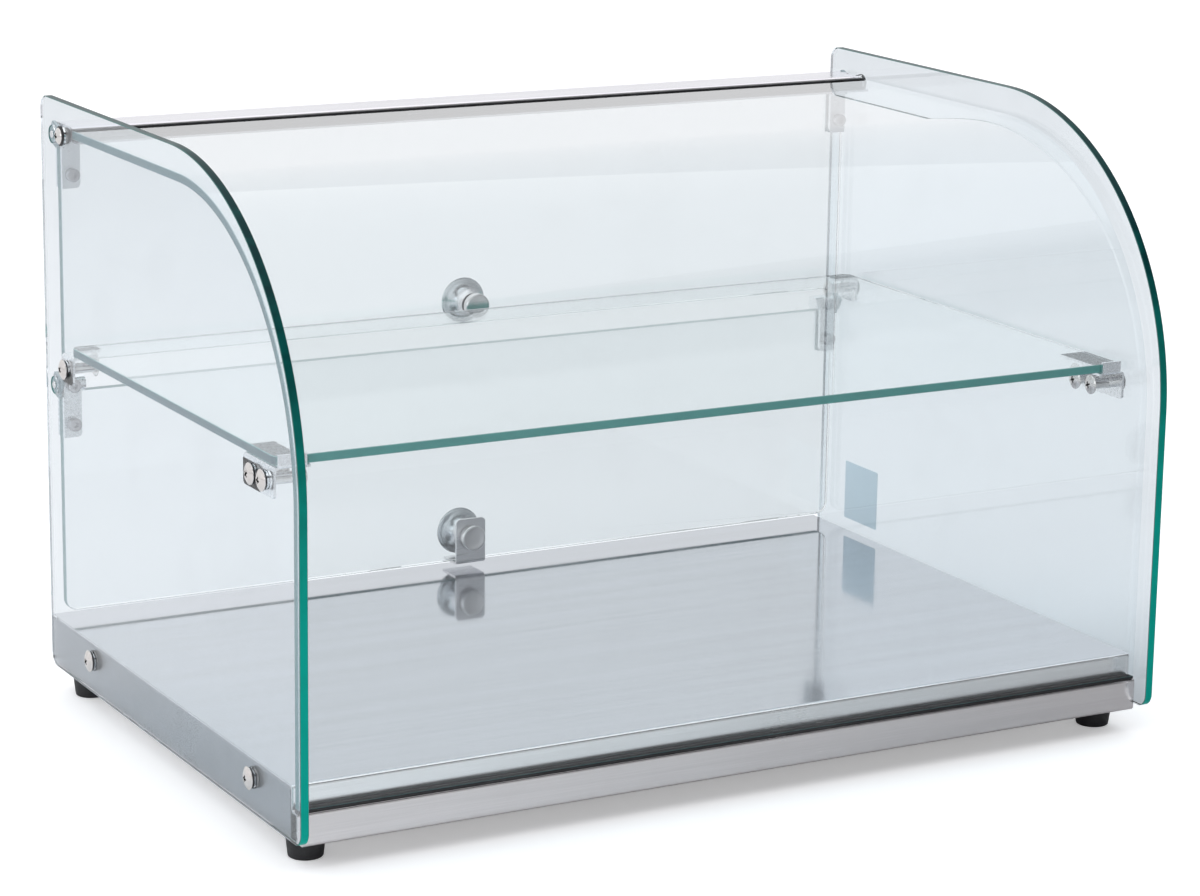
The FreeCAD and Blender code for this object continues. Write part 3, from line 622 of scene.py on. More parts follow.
@dataclass(frozen=True)
class Rubber:
    """Moulded black rubber, dull and finely pitted."""

    name: str
    colour: Colour
    roughness: tuple[float, float] = (0.45, 0.65)

    def make(self, effects: Effects) -> bpy.types.Material:
        """Build the material.

        Args:
            effects: The shared node groups.

        Returns:
            The material.
        """
        made = Recipe(self.name, effects)
        tree = made.tree
        fine = tree.noise(made.place, 900.0, 4.0, 0.65)
        marks = made.group(effects.handling, Place=made.place)
        dusty = tuple(part + 0.02 for part in self.colour)
        colour = tree.blend(marks.outputs["Smudge"], self.colour, dusty)
        shader = made.principled(Base_Color=colour, Roughness=tree.span(fine, 0.3, 0.7, *self.roughness),
                                 Normal=made.bump(fine, 0.2, 0.0001))
        return made.finish(shader.outputs[0])


@dataclass(frozen=True)
class ClearNylon:
    """Translucent moulded nylon."""

    name: str
    colour: Colour
    roughness: tuple[float, float] = (0.18, 0.3)

    def make(self, effects: Effects) -> bpy.types.Material:
        """Build the material.

        Args:
            effects: The shared node groups.

        Returns:
            The material.
        """
        made = Recipe(self.name, effects)
        tree = made.tree
        cloud = tree.noise(made.place, 260.0, 3.0)
        shade = tuple(0.86 * part for part in self.colour)
        colour = tree.blend(tree.span(cloud, 0.3, 0.7), shade, self.colour)
        shader = made.principled(Base_Color=colour, Roughness=tree.span(cloud, 0.3, 0.7, *self.roughness),
                                 IOR=1.53, Transmission_Weight=0.2)
        return made.finish(shader.outputs[0])


@dataclass(frozen=True)
class Film:
    """A blank matte film label with faint fibres."""

    name: str
    colour: Colour
    shade: Colour

    def make(self, effects: Effects) -> bpy.types.Material:
        """Build the material.

        Args:
            effects: The shared node groups.

        Returns:
            The material.
        """
        made = Recipe(self.name, effects)
        tree = made.tree
        fibre = tree.noise(tree.stretch(made.place, (1.0, 700.0, 2600.0)), 1.0, 4.0, 0.6)
        cloud = tree.noise(made.place, 45.0, 3.0)
        colour = tree.blend(tree.math("ADD", tree.math("MULTIPLY", fibre, 0.4),
                                      tree.math("MULTIPLY", cloud, 0.6)), self.shade, self.colour)
        shader = made.principled(Base_Color=colour, Roughness=tree.span(fibre, 0.3, 0.7, 0.42, 0.6),
                                 Normal=made.bump(fibre, 0.1, 0.00005))
        return made.finish(shader.outputs[0])


# ---------------------------------------------------------------- modelling helpers


def rest() -> None:
    """Leave edit mode and deselect everything."""
    if bpy.context.object is not None and bpy.context.object.mode != "OBJECT":
        bpy.ops.object.mode_set(mode="OBJECT")
    bpy.ops.object.select_all(action="DESELECT")


def pick(*pieces: bpy.types.Object) -> None:
    """Select these pieces alone and make the first one active.

    Args:
        *pieces: The pieces to select.
    """
    rest()
    for piece in pieces:
        piece.select_set(True)
    bpy.context.view_layer.objects.active = pieces[0]


def edit(whole: bool = False) -> None:
    """Enter edit mode with vertex selection and nothing selected, or all of the mesh."""
    bpy.ops.object.mode_set(mode="EDIT")
    bpy.ops.mesh.select_mode(type="VERT")
    bpy.ops.mesh.select_all(action="SELECT" if whole else "DESELECT")


def face_outwards() -> None:
    """Turn every face of the mesh outwards, in edit mode."""
    bpy.ops.mesh.select_all(action="SELECT")
    bpy.ops.mesh.normals_make_consistent(inside=False)


def add_primitive(kind: str, place: Sequence[float], turn: Sequence[float] = UNTURNED,
                  **sizes: object) -> bpy.types.Object:
    """Add a primitive and put its place in its mesh.

    Args:
        kind: The primitive, such as plane or cylinder.
        place: Where its middle goes.
        turn: Its rotation.
        **sizes: Its sizes.

    Returns:
        The primitive.
    """
    rest()
    getattr(bpy.ops.mesh, f"primitive_{kind}_add")(location=place, rotation=turn, **sizes)
    bpy.ops.object.transform_apply(location=True, rotation=True, scale=True)
    return bpy.context.object


def select_vertices(piece: bpy.types.Object, test: Callable[[Vector], bool]) -> None:
    """Select the vertices that pass a test, in edit mode.

    Args:
        piece: The piece in edit mode.
        test: Takes a vertex's place and says whether to select it.
    """
    mesh = bmesh.from_edit_mesh(piece.data)
    for vertex in mesh.verts:
        vertex.select_set(bool(test(vertex.co)))
    mesh.select_flush_mode()
    bmesh.update_edit_mesh(piece.data)


def settle(piece: bpy.types.Object, name: str) -> bpy.types.Object:
    """Put a piece's place in its mesh and name it.

    Args:
        piece: The piece.
        name: Its new name.

    Returns:
        The piece.
    """
    pick(piece)
    bpy.ops.object.transform_apply(location=True, rotation=True, scale=True)
    piece.name = name
    piece.data.name = name
    return piece


def modify(piece: bpy.types.Object, kind: str, **settings: object) -> None:
    """Add a modifier and apply it.

    Args:
        piece: The piece.
        kind: The modifier's type.
        **settings: Its properties.
    """
    pick(piece)
    modifier = piece.modifiers.new(kind.lower(), kind)
    for name, value in settings.items():
        setattr(modifier, name, value)
    bpy.ops.object.modifier_apply(modifier=modifier.name)


def carve(piece: bpy.types.Object, tool: bpy.types.Object, operation: str = "DIFFERENCE",
          **settings: object) -> None:
    """Cut a piece with a tool, or join the tool to it, and take the tool away.

    Args:
        piece: The piece.
        tool: The tool's object.
        operation: The Boolean modifier's operation.
        **settings: Its other properties.
    """
    modify(piece, "BOOLEAN", operation=operation, solver="EXACT", object=tool, **settings)
    bpy.data.objects.remove(tool)


def smooth(piece: bpy.types.Object, degrees: float) -> None:
    """Shade a piece smooth up to an angle.

    Args:
        piece: The piece.
        degrees: Edges sharper than this stay sharp.
    """
    pick(piece)
    bpy.ops.object.shade_smooth_by_angle(angle=math.radians(degrees))


def joined(pieces: Sequence[bpy.types.Object]) -> bpy.types.Object:
    """Join pieces into the first one.

    Args:
        pieces: The pieces.

    Returns:
        The joined piece.
    """
    pick(*pieces)
    if len(pieces) > 1:
        bpy.ops.object.join()
    return bpy.context.view_layer.objects.active


def duplicate(piece: bpy.types.Object) -> bpy.types.Object:
    """Copy a piece with its own mesh.

    Args:
        piece: The piece to copy.

    Returns:
        The copy.
    """
    pick(piece)
    bpy.ops.object.duplicate(linked=False)
    return bpy.context.view_layer.objects.active


def turned(name: str, profile: Sequence[tuple[float, float]], origin: Vector, axis: Vector,
           steps: int) -> bpy.types.Object:
    """Turn a profile about an axis, as on a lathe.

    Args:
        name: The piece's name.
        profile: (distance along the axis, radius) points, in order.
        origin: The point on the axis where the distance is 0.
        axis: The axis's direction.
        steps: Divisions round the axis.

    Returns:
        The turned piece.
    """
    across = RIGHT if axis == UP else UP
    spots = [origin + axis * along + across * radius for along, radius in profile]
    piece = add_primitive("plane", spots[0], size=MM)
    edit(whole=True)
    bpy.ops.mesh.merge(type="CENTER")
    for before, after in zip(spots, spots[1:]):
        bpy.ops.mesh.extrude_region_move(TRANSFORM_OT_translate={"value": after - before})
    bpy.ops.mesh.select_all(action="SELECT")
    bpy.ops.mesh.spin(steps=steps, angle=2.0 * math.pi, center=origin, axis=axis)
    bpy.ops.mesh.select_all(action="SELECT")
    bpy.ops.mesh.remove_doubles(threshold=0.002 * MM)
    bpy.ops.mesh.normals_make_consistent(inside=False)
    smooth(piece, TURNED_ANGLE)
    return settle(piece, name)


def arc(centre: tuple[float, float], radius: float, start: float, end: float, steps: int) -> list[
        tuple[float, float]]:
    """Points on an arc of a turned profile.

    Args:
        centre: (along, radius) of the arc's centre.
        radius: The arc's own radius.
        start: First angle in degrees, 0 being along the axis.
        end: Last angle in degrees.
        steps: Divisions.

    Returns:
        The points, both ends included.
    """
    angles = [math.radians(start + (end - start) * i / steps) for i in range(steps + 1)]
    return [(centre[0] + radius * math.cos(a), centre[1] + radius * math.sin(a)) for a in angles]


def solids(node: bpy.types.Object) -> list[Box]:
    """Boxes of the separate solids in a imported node, left to right and front to rear.

    Args:
        node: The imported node's object.

    Returns:
        Lowest and highest corner of each solid.
    """
    mesh = bmesh.new()
    mesh.from_mesh(node.data)
    bmesh.ops.remove_doubles(mesh, verts=mesh.verts, dist=0.00001)
    boxes = []
    todo = set(mesh.verts)
    while todo:
        ring = [todo.pop()]
        found = list(ring)
        while ring:
            near = {edge.other_vert(vertex) for vertex in ring for edge in vertex.link_edges} & todo
            todo -= near
            ring = list(near)
            found += ring
        low = Vector([min(vertex.co[i] for vertex in found) for i in range(3)])
        high = Vector([max(vertex.co[i] for vertex in found) for i in range(3)])
        boxes.append((low, high))
    mesh.free()
    return sorted(boxes, key=lambda box: (box[0].x > 0, round(box[0].y, 3), round(box[0].z, 3)))


def middle(box: Box) -> Vector:
    """The middle of a box."""
    return (box[0] + box[1]) / 2.0


def low_middle(box: Box, axis: Axis) -> Vector:
    """The middle of a box's low side across an axis.

    Args:
        box: The box.
        axis: The axis.

    Returns:
        The side's middle.
    """
    spot = middle(box)
    spot[axis.value] = box[0][axis.value]
    return spot


def dress(piece: bpy.types.Object, material: bpy.types.Material) -> None:
    """Put one material in every slot of a piece.

    Args:
        piece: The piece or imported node.
        material: The material.
    """
    if not piece.material_slots:
        piece.data.materials.append(material)
    for slot in piece.material_slots:
        slot.material = material


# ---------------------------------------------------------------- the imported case


@dataclass
class Case:
    """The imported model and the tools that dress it."""

    nodes: dict[str, bpy.types.Object]
    bodies: dict[str, list[str]]
    effects: Effects
    slots: dict[str, str]
    report: list[str] = field(default_factory=list)

    def body_of(self, node: str) -> str:
        """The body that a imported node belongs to."""
        return next(body for body, members in self.bodies.items() if node in members)

    def finish_nodes(self, names: Iterable[str], material: bpy.types.Material) -> None:
        """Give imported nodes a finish.

        Args:
            names: The nodes' names.
            material: The finish's material.
        """
        for name in names:
            dress(self.nodes[name], material)
            LOG.info("finish %-24s %s", name, material.name)

    def stand_for(self, piece: bpy.types.Object, node: str, material: bpy.types.Material) -> None:
        """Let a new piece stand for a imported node.

        Args:
            piece: The new piece.
            node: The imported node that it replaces.
            material: The piece's material.
        """
        dress(piece, material)
        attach(piece, self.body_of(node))
        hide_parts(node)
        self.report.append(piece.name)
        LOG.info("piece  %-24s for %s, %d faces", piece.name, node, len(piece.data.polygons))


# ---------------------------------------------------------------- glass


@dataclass
class GlassPanes:
    """Every pane: two side glasses, the curved front, the shelf and two doors."""

    case: Case
    arris: float = 0.35 * MM
    side_front_radius: float = 170.0 * MM
    side_corner_radius: float = 8.0 * MM
    front_radius: float = 157.0 * MM
    shelf_corner_radius: float = 6.0 * MM
    door_corner_radius: float = 7.0 * MM
    door_top_radius: float = 3.0 * MM
    hole_radius: float = 5.0 * MM
    knob_hole_radius: float = 4.0 * MM
    drill_length: float = 30.0 * MM
    front_thickness: float = 5.0 * MM
    near: float = 0.1 * MM

    def flat_pane(self, name: str, box: Box, axis: Axis, corners: Sequence[
            tuple[bool, bool, float, int]]) -> bpy.types.Object:
        """Model a flat pane: a sheet with rounded corners, then its thickness.

        Args:
            name: The piece's name.
            box: The pane's box.
            axis: The axis across its thickness.
            corners: For each corner, whether it is high on the first and the second of the
                other two axes, its radius and its divisions.

        Returns:
            The pane, without holes or arrises.
        """
        low, high = box
        size = high - low
        first, second = [i for i in range(3) if i != axis.value]
        place = low_middle(box, axis)
        turn = {Axis.X: ALONG_X, Axis.Y: ALONG_Y, Axis.Z: UNTURNED}[axis]
        piece = add_primitive("plane", place, turn, size=1.0)
        edit(whole=True)
        grow = [1.0, 1.0, 1.0]
        grow[first], grow[second] = size[first], size[second]
        bpy.ops.transform.resize(value=grow, center_override=place)
        for high_first, high_second, radius, steps in corners:
            spot = place.copy()
            spot[first] = high[first] if high_first else low[first]
            spot[second] = high[second] if high_second else low[second]
            select_vertices(piece, lambda co, spot=spot: (co - spot).length < self.near)
            bpy.ops.mesh.bevel(offset=radius, segments=steps, affect="VERTICES")
        bpy.ops.mesh.select_all(action="SELECT")
        move = Vector((0.0, 0.0, 0.0))
        move[axis.value] = size[axis.value]
        bpy.ops.mesh.extrude_region_move(TRANSFORM_OT_translate={"value": move})
        face_outwards()
        return settle(piece, name)

    def drill(self, pane: bpy.types.Object, axis: Axis, spots: Sequence[Vector], radius: float) -> None:
        """Drill round holes through a pane.

        Args:
            pane: The pane.
            axis: The holes' axis.
            spots: Points on the holes' axes, in the middle of the pane.
            radius: The holes' radius.
        """
        turn = ALONG_X if axis is Axis.X else ALONG_Y
        drills = [add_primitive("cylinder", spot, turn, vertices=ROUND_STEPS, radius=radius,
                                depth=self.drill_length) for spot in spots]
        carve(pane, joined(drills))

    def arrised(self, pane: bpy.types.Object, on_face: Callable[[Vector, Vector], float]) -> None:
        """Take the arrises off a pane and mark its edges for the finish.

        Args:
            pane: The pane.
            on_face: Takes a face's normal and middle and says how squarely it lies on the
                pane's faces, from 0 on an edge to 1 on a face.
        """
        modify(pane, "BEVEL", width=self.arris, segments=1, limit_method="ANGLE",
               angle_limit=math.radians(50.0))
        smooth(pane, PANE_ANGLE)
        modify(pane, "WEIGHTED_NORMAL", keep_sharp=True, weight=100)
        marks = pane.data.attributes.new("pane_edge", "FLOAT", "FACE")
        for face in pane.data.polygons:
            square = on_face(face.normal, face.center)
            marks.data[face.index].value = 0.0 if square > 0.95 else 0.5 if square > 0.4 else 1.0

    def holes_in_sides(self) -> list[Vector]:
        """Middles of the holes in both side glasses.

        Returns:
            A point on each hole's axis.
        """
        spots = []
        for node in ("shelf_outer_screws", "base_side_screws", "rail_end_screws"):
            spots += [middle(box) for box in solids(self.case.nodes[node])]
        return spots + [middle(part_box(f"{level}_hinge_pin_{side}")) for level in LEVELS for side in SIDES]

    def sides(self) -> None:
        """Build both side glasses."""
        # Side glass edges: a painted highlight at the bottom, ramping to near-black painted shade on the top
        # edge.
        finish = PaneGlass("side glass", (0.915, 0.955, 0.98), (0.0, 0.4, 0.32), (0.002, 0.035, 0.037),
                           edge_span=(0.1, 0.32), arris=(0.1, 0.22, 0.21)).make(self.case.effects)
        for side, sign in zip(SIDES, (-1.0, 1.0)):
            node = "side_glass_" + side
            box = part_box(node)
            small = self.side_corner_radius
            pane = self.flat_pane("pane_side_" + side, box, Axis.X,
                                  [(False, False, small, 10), (True, False, small, 10),
                                   (True, True, small, 10), (False, True, self.side_front_radius, 72)])
            centre = middle(box).x
            spots = [Vector((centre, spot.y, spot.z)) for spot in self.holes_in_sides()
                     if spot.x * sign > 0.0]
            self.drill(pane, Axis.X, spots, self.hole_radius)
            self.arrised(pane, lambda normal, _: abs(normal.x))
            self.case.stand_for(pane, node, finish)

    def front(self) -> None:
        """Build the curved front glass: an upright sheet, its flat top and one bend."""
        node = "curved_front_glass"
        low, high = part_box(node)
        place = Vector((0.0, low.y, (low.z + high.z) / 2.0))
        pane = add_primitive("plane", place, ALONG_Y, size=1.0)
        edit(whole=True)
        bpy.ops.transform.resize(value=(high.x - low.x, 1.0, high.z - low.z), center_override=place)
        select_vertices(pane, lambda co: co.z > high.z - self.near)
        bpy.ops.mesh.extrude_region_move(TRANSFORM_OT_translate={"value": (0.0, high.y - low.y, 0.0)})
        select_vertices(pane, lambda co: co.z > high.z - self.near and co.y < low.y + self.near)
        bpy.ops.mesh.bevel(offset=self.front_radius, segments=72, affect="EDGES")
        face_outwards()
        settle(pane, "pane_front")
        outward = max(pane.data.polygons, key=lambda face: face.area).normal
        inwards = -1.0 if outward.y < 0.0 or outward.z > 0.5 else 1.0
        modify(pane, "SOLIDIFY", thickness=self.front_thickness, offset=inwards, use_even_offset=True)
        pick(pane)
        edit()
        face_outwards()
        rest()

        def on_face(normal: Vector, centre: Vector) -> float:
            """How squarely a face lies on the curved faces."""
            at_end = centre.z < low.z + 0.5 * MM or centre.y > high.y - 0.5 * MM
            return 0.7 * (1.0 - abs(normal.z * normal.y)) if at_end and 0.1 < abs(normal.z) < 0.9 else (
                0.0 if at_end else 1.0 - abs(normal.x) ** 2)

        self.arrised(pane, on_face)
        finish = PaneGlass("front glass", (0.925, 0.955, 0.965), (0.09, 0.22, 0.23), (0.09, 0.18, 0.2),
                           arris=(0.4, 0.52, 0.54), bent=True).make(self.case.effects)
        self.case.stand_for(pane, node, finish)

    def shelf(self) -> None:
        """Build the glass shelf."""
        node = "glass_shelf"
        radius = self.shelf_corner_radius
        pane = self.flat_pane("pane_shelf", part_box(node), Axis.Z,
                              [(a, b, radius, 10) for a, b in ((0, 0), (1, 0), (1, 1), (0, 1))])
        self.arrised(pane, lambda normal, _: abs(normal.z))
        finish = PaneGlass("shelf glass", (0.955, 0.98, 0.98), (0.07, 0.14, 0.165), (0.12, 0.37, 0.34),
                           edge_span=(-0.2696, -0.266), edge_axis=Axis.X, arris=(0.3, 0.5, 0.48)).make(
                               self.case.effects)
        self.case.stand_for(pane, node, finish)

    def doors(self) -> None:
        """Build both door glasses with the holes for their knobs."""
        finish = PaneGlass("door glass", (0.925, 0.955, 0.965), (0.14, 0.25, 0.26), (0.12, 0.22, 0.23),
                           arris=(0.35, 0.45, 0.47)).make(self.case.effects)
        for level in LEVELS:
            node = level + "_door_glass"
            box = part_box(node)
            big, small = self.door_corner_radius, self.door_top_radius
            pane = self.flat_pane(f"pane_{level}_door", box, Axis.Y,
                                  [(0, 0, big, 10), (1, 0, big, 10), (1, 1, small, 6), (0, 1, small, 6)])
            knob = middle(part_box(level + "_door_knob"))
            self.drill(pane, Axis.Y, [Vector((knob.x, middle(box).y, knob.z))], self.knob_hole_radius)
            self.arrised(pane, lambda normal, _: abs(normal.y))
            self.case.stand_for(pane, node, finish)

    def build(self) -> None:
        """Build every pane."""
        self.sides()
        self.front()
        self.shelf()
        self.doors()


# ---------------------------------------------------------------- metal parts


@dataclass
class SteelWork:
    """The folded base, the top rail, the shelf brackets and the catch plate."""

    case: Case

    def build(self) -> None:
        """Give every folded part its finish."""
        effects = self.case.effects
        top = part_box("base_shell")[1].z
        # The base's front bands are painted lighter than its top: painted reflection light on one steel.
        base = BrushedSteel("base steel", (0.615, 0.627, 0.665), (0.57, 0.58, 0.61), (0.05, 0.1),
                            painted_front_below=top - 0.4 * MM, painted_top_band_from=top - 13.5 * MM,
                            lower_band_painted_light=(0.76, 0.735, 0.74)).make(effects)
        # Painted shade: the end panels are the base's brushed steel given a much darker colour for their
        # dimmer reflections.
        panel = BrushedSteel("end panel steel", (0.36, 0.37, 0.395), (0.315, 0.325, 0.35),
                             (0.24, 0.32)).make(effects)
        rail = BrushedSteel("rail steel", (0.8, 0.79, 0.82), (0.7, 0.69, 0.73),
                            roughness=(0.18, 0.28)).make(effects)
        bracket = PlatedMetal("bracket steel", (0.93, 0.93, 0.945), (0.22, 0.3), shade=0.94).make(effects)
        catch = BrushedSteel("catch plate steel", (0.78, 0.78, 0.79), (0.68, 0.68, 0.7),
                             roughness=(0.2, 0.32), fineness=1.4).make(effects)
        self.case.finish_nodes(("base_shell", "base_floor_plate"), base)
        self.case.finish_nodes(("base_side_panel_left", "base_side_panel_right"), panel)
        self.case.finish_nodes(("top_rail",), rail)
        self.case.finish_nodes([f"{row}_shelf_bracket_{side}" for row in ROWS for side in SIDES], bracket)
        self.case.finish_nodes(("lower_door_catch_plate",), catch)


@dataclass
class Screws:
    """Domed cross-head screws, modelled once and set in every place."""

    case: Case
    head_rise: float = 2.6 * MM
    edge_rise: float = 0.6 * MM
    rim_round: float = 0.3 * MM
    cross_reach: float = 2.6 * MM
    cross_width: float = 1.5 * MM
    cross_depth: float = 1.9 * MM
    cross_taper: float = 0.55
    turns: tuple[float, ...] = (12.0, 57.0, 33.0, -21.0, 76.0, 5.0)

    def screw(self, name: str, head_radius: float, shank_radius: float, length: float) -> bpy.types.Object:
        """Model one screw at the origin with its head towards +X.

        Args:
            name: The piece's name.
            head_radius: Radius of the head.
            shank_radius: Radius of the shank.
            length: From the head's crown to the shank's end.

        Returns:
            The screw.
        """
        dome = self.head_rise - self.edge_rise
        sphere = (head_radius ** 2 + dome ** 2) / (2.0 * dome)
        reach = math.degrees(math.asin((head_radius - self.rim_round) / sphere))
        crown = arc((self.head_rise - sphere, 0.0), sphere, 0.0, reach, 8)
        shank_end = self.head_rise - length
        profile = crown + [(self.edge_rise, head_radius), (self.rim_round, head_radius),
                           (0.0, head_radius - self.rim_round), (0.0, shank_radius),
                           (shank_end + 0.4 * MM, shank_radius), (shank_end, shank_radius - 0.4 * MM),
                           (shank_end, 0.0)]
        piece = turned(name, profile, Vector(UNTURNED), RIGHT, SCREW_STEPS)
        arms = []
        for size in ((self.cross_reach, self.cross_width / 2.0), (self.cross_width / 2.0, self.cross_reach)):
            crown_point = (self.head_rise, 0.0, 0.0)
            arm = add_primitive("cube", crown_point, size=2.0)
            edit(whole=True)
            bpy.ops.transform.resize(value=(self.cross_depth, *size), center_override=crown_point)
            select_vertices(arm, lambda co: co.x < self.head_rise)
            bpy.ops.transform.resize(value=(1.0, self.cross_taper, self.cross_taper),
                                     center_override=crown_point)
            rest()
            arms.append(arm)
        carve(piece, joined(arms), use_self=True)
        smooth(piece, CUT_ANGLE)
        # Mark the faces inside the cross so that the finish paints shade in the recess.
        painted_recess_shade = piece.data.attributes.new("recess", "FLOAT", "FACE")
        for face in piece.data.polygons:
            out = math.hypot(face.center.y, face.center.z)
            dome_x = self.head_rise - sphere + math.sqrt(max(sphere ** 2 - out ** 2, 0.0))
            in_cross = out < self.cross_reach and face.center.x < dome_x - 0.08 * MM
            painted_recess_shade.data[face.index].value = 1.0 if in_cross and face.center.x > 0.0 else 0.0
        return piece

    def set_screws(self, node: str, shank_radius: float, inward: bool,
                   material: bpy.types.Material) -> None:
        """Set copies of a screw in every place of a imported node.

        Args:
            node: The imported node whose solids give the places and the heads' size.
            shank_radius: Radius of the shanks.
            inward: Whether the heads face the middle of the case.
            material: The screws' material.
        """
        boxes = solids(self.case.nodes[node])
        length = boxes[0][1].x - boxes[0][0].x
        head_radius = (boxes[0][1].z - boxes[0][0].z) / 2.0
        first = self.screw(node + "_first", head_radius, shank_radius, length)
        made = []
        for number, box in enumerate(boxes):
            faces_right = (middle(box).x > 0.0) != inward
            crown = box[1].x if faces_right else box[0].x
            copy = duplicate(first)
            edit(whole=True)
            angle = math.radians(self.turns[number % len(self.turns)])
            bpy.ops.transform.rotate(value=angle, orient_axis="X", center_override=UNTURNED)
            if not faces_right:
                bpy.ops.transform.rotate(value=math.pi, orient_axis="Z", center_override=UNTURNED)
            shift = -self.head_rise if faces_right else self.head_rise
            bpy.ops.transform.translate(value=(crown + shift, middle(box).y, middle(box).z))
            rest()
            made.append(copy)
        bpy.data.objects.remove(first)
        piece = settle(joined(made), node.replace("_screws", "_cross_heads"))
        self.case.stand_for(piece, node, material)

    def build(self) -> None:
        """Build every screw and finish the nuts, sleeves and washers."""
        effects = self.case.effects
        nickel = PlatedMetal("nickel plate", (0.74, 0.71, 0.69), (0.08, 0.16)).make(effects)
        sleeve = PlatedMetal("sleeve metal", (0.8, 0.79, 0.78), (0.05, 0.1)).make(effects)
        fibre = Rubber("washer fibre", (0.03, 0.03, 0.032)).make(effects)
        for node, shank_radius in (("shelf_outer_screws", 2.0), ("shelf_inner_screws", 2.0),
                                   ("base_side_screws", 2.5), ("rail_end_screws", 2.5)):
            self.set_screws(node, shank_radius * MM, node == "shelf_inner_screws", nickel)
        self.case.finish_nodes(("shelf_sleeves", "rail_end_nuts"), sleeve)
        self.case.finish_nodes(("base_weld_nuts", "foot_nuts", "foot_screws"), nickel)
        self.case.finish_nodes(("outer_washers", "spacer_washers"), fibre)


@dataclass
class DoorFittings:
    """Knobs, caps, hinge clips, pins and bushes of one door."""

    case: Case
    level: str
    disc_radius: float = 15.0 * MM
    neck_radius: float = 4.6 * MM
    foot_radius: float = 6.4 * MM
    foot_rise: float = 1.4 * MM
    rim_rise: float = 1.0 * MM
    crown_rise: float = 1.0 * MM
    edge_round: float = 0.35 * MM
    flare_steps: int = 12
    cap_edge: float = 1.1 * MM
    stud_radius: float = 2.0 * MM
    cap_rise: float = 4.5 * MM
    bush_half_length: float = 11.0 * MM
    bush_half_height: float = 8.6 * MM
    bush_corner: float = 2.0 * MM
    bush_tilt: float = 18.0
    flange: float = 1.8 * MM
    flange_rim: float = 1.7 * MM
    flange_pocket: float = 0.9 * MM
    spigot_radius: float = 4.9 * MM
    bore_radius: float = 2.35 * MM
    socket_head: float = 4.6 * MM
    socket_shank: float = 2.0 * MM
    socket_round: float = 0.5 * MM
    socket_reach: float = 2.0 * MM
    socket_depth: float = 2.2 * MM

    def bush(self, side: str, material: bpy.types.Material) -> None:
        """Model one bush: a diamond flange with a pocket, and a bored spigot.

        Args:
            side: left or right.
            material: The nylon.
        """
        node = f"{self.level}_hinge_bush_{side}"
        low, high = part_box(node)
        sign = -1.0 if side == "left" else 1.0
        near, far = (high.x, low.x) if side == "left" else (low.x, high.x)
        axis = middle(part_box(f"{self.level}_hinge_pin_{side}"))
        centre = Vector((near, axis.y, axis.z))
        piece = add_primitive("circle", centre, ALONG_X, vertices=4, radius=1.0, fill_type="NGON")
        edit(whole=True)
        bpy.ops.transform.resize(value=(1.0, self.bush_half_length, self.bush_half_height),
                                 center_override=centre)
        slope = math.atan2(self.bush_half_height, self.bush_half_length)
        select_vertices(piece, lambda co: abs(co.y - centre.y) > 0.9 * self.bush_half_length)
        bpy.ops.mesh.bevel(offset=self.bush_corner / math.tan(slope), segments=6, affect="VERTICES")
        select_vertices(piece, lambda co: abs(co.z - centre.z) > 0.9 * self.bush_half_height)
        bpy.ops.mesh.bevel(offset=self.bush_corner * math.tan(slope), segments=6, affect="VERTICES")
        bpy.ops.mesh.select_all(action="SELECT")
        bpy.ops.transform.rotate(value=math.radians(self.bush_tilt), orient_axis="X", center_override=centre)
        bpy.ops.mesh.extrude_region_move(TRANSFORM_OT_translate={"value": (sign * self.flange, 0.0, 0.0)})
        face_outwards()
        glass_side = near + sign * self.flange
        select_vertices(piece, lambda co: abs(co.x - glass_side) < 0.01 * MM)
        bpy.ops.mesh.inset(thickness=self.flange_rim, depth=-self.flange_pocket)
        rest()
        past = sign * 2.0 * MM
        for radius, begin, reach, operation in (
                (self.spigot_radius, near + sign * 0.4 * MM, far, "UNION"),
                (self.bore_radius, near - past, far + past, "DIFFERENCE")):
            tool = add_primitive("cylinder", ((begin + reach) / 2.0, axis.y, axis.z), ALONG_X,
                                 vertices=ROUND_STEPS, radius=radius, depth=abs(reach - begin))
            carve(piece, tool, operation)
        modify(piece, "BEVEL", width=0.15 * MM, segments=2, limit_method="ANGLE",
               angle_limit=math.radians(60.0))
        smooth(piece, TURNED_ANGLE)
        self.case.stand_for(settle(piece, f"{self.level}_bush_{side}"), node, material)

    def socket_screws(self, material: bpy.types.Material) -> None:
        """Turn the clips' socket screws and sink a hexagon in each head.

        Args:
            material: The screws' metal.
        """
        node = self.level + "_clip_screws"
        made = []
        for low, high in solids(self.case.nodes[node]):
            radius = (high.z - low.z) / 2.0
            r = self.socket_round
            profile = [(0.0, 0.0), (0.0, self.socket_reach + 0.3 * MM)]
            profile += arc((r, radius - r), r, 180.0, 90.0, 4)
            profile += [(self.socket_head - 0.2 * MM, radius), (self.socket_head, radius - 0.2 * MM),
                        (self.socket_head, self.socket_shank), (high.y - low.y, self.socket_shank),
                        (high.y - low.y, 0.0)]
            centre = low_middle((low, high), Axis.Y)
            piece = turned("socket_screw", profile, centre, REARWARD, SCREW_STEPS)
            carve(piece, add_primitive("cylinder", centre, ALONG_Y, vertices=6,
                                       radius=self.socket_reach, depth=2.0 * self.socket_depth))
            smooth(piece, CUT_ANGLE)
            made.append(piece)
        self.case.stand_for(settle(joined(made), self.level + "_socket_screws"), node, material)

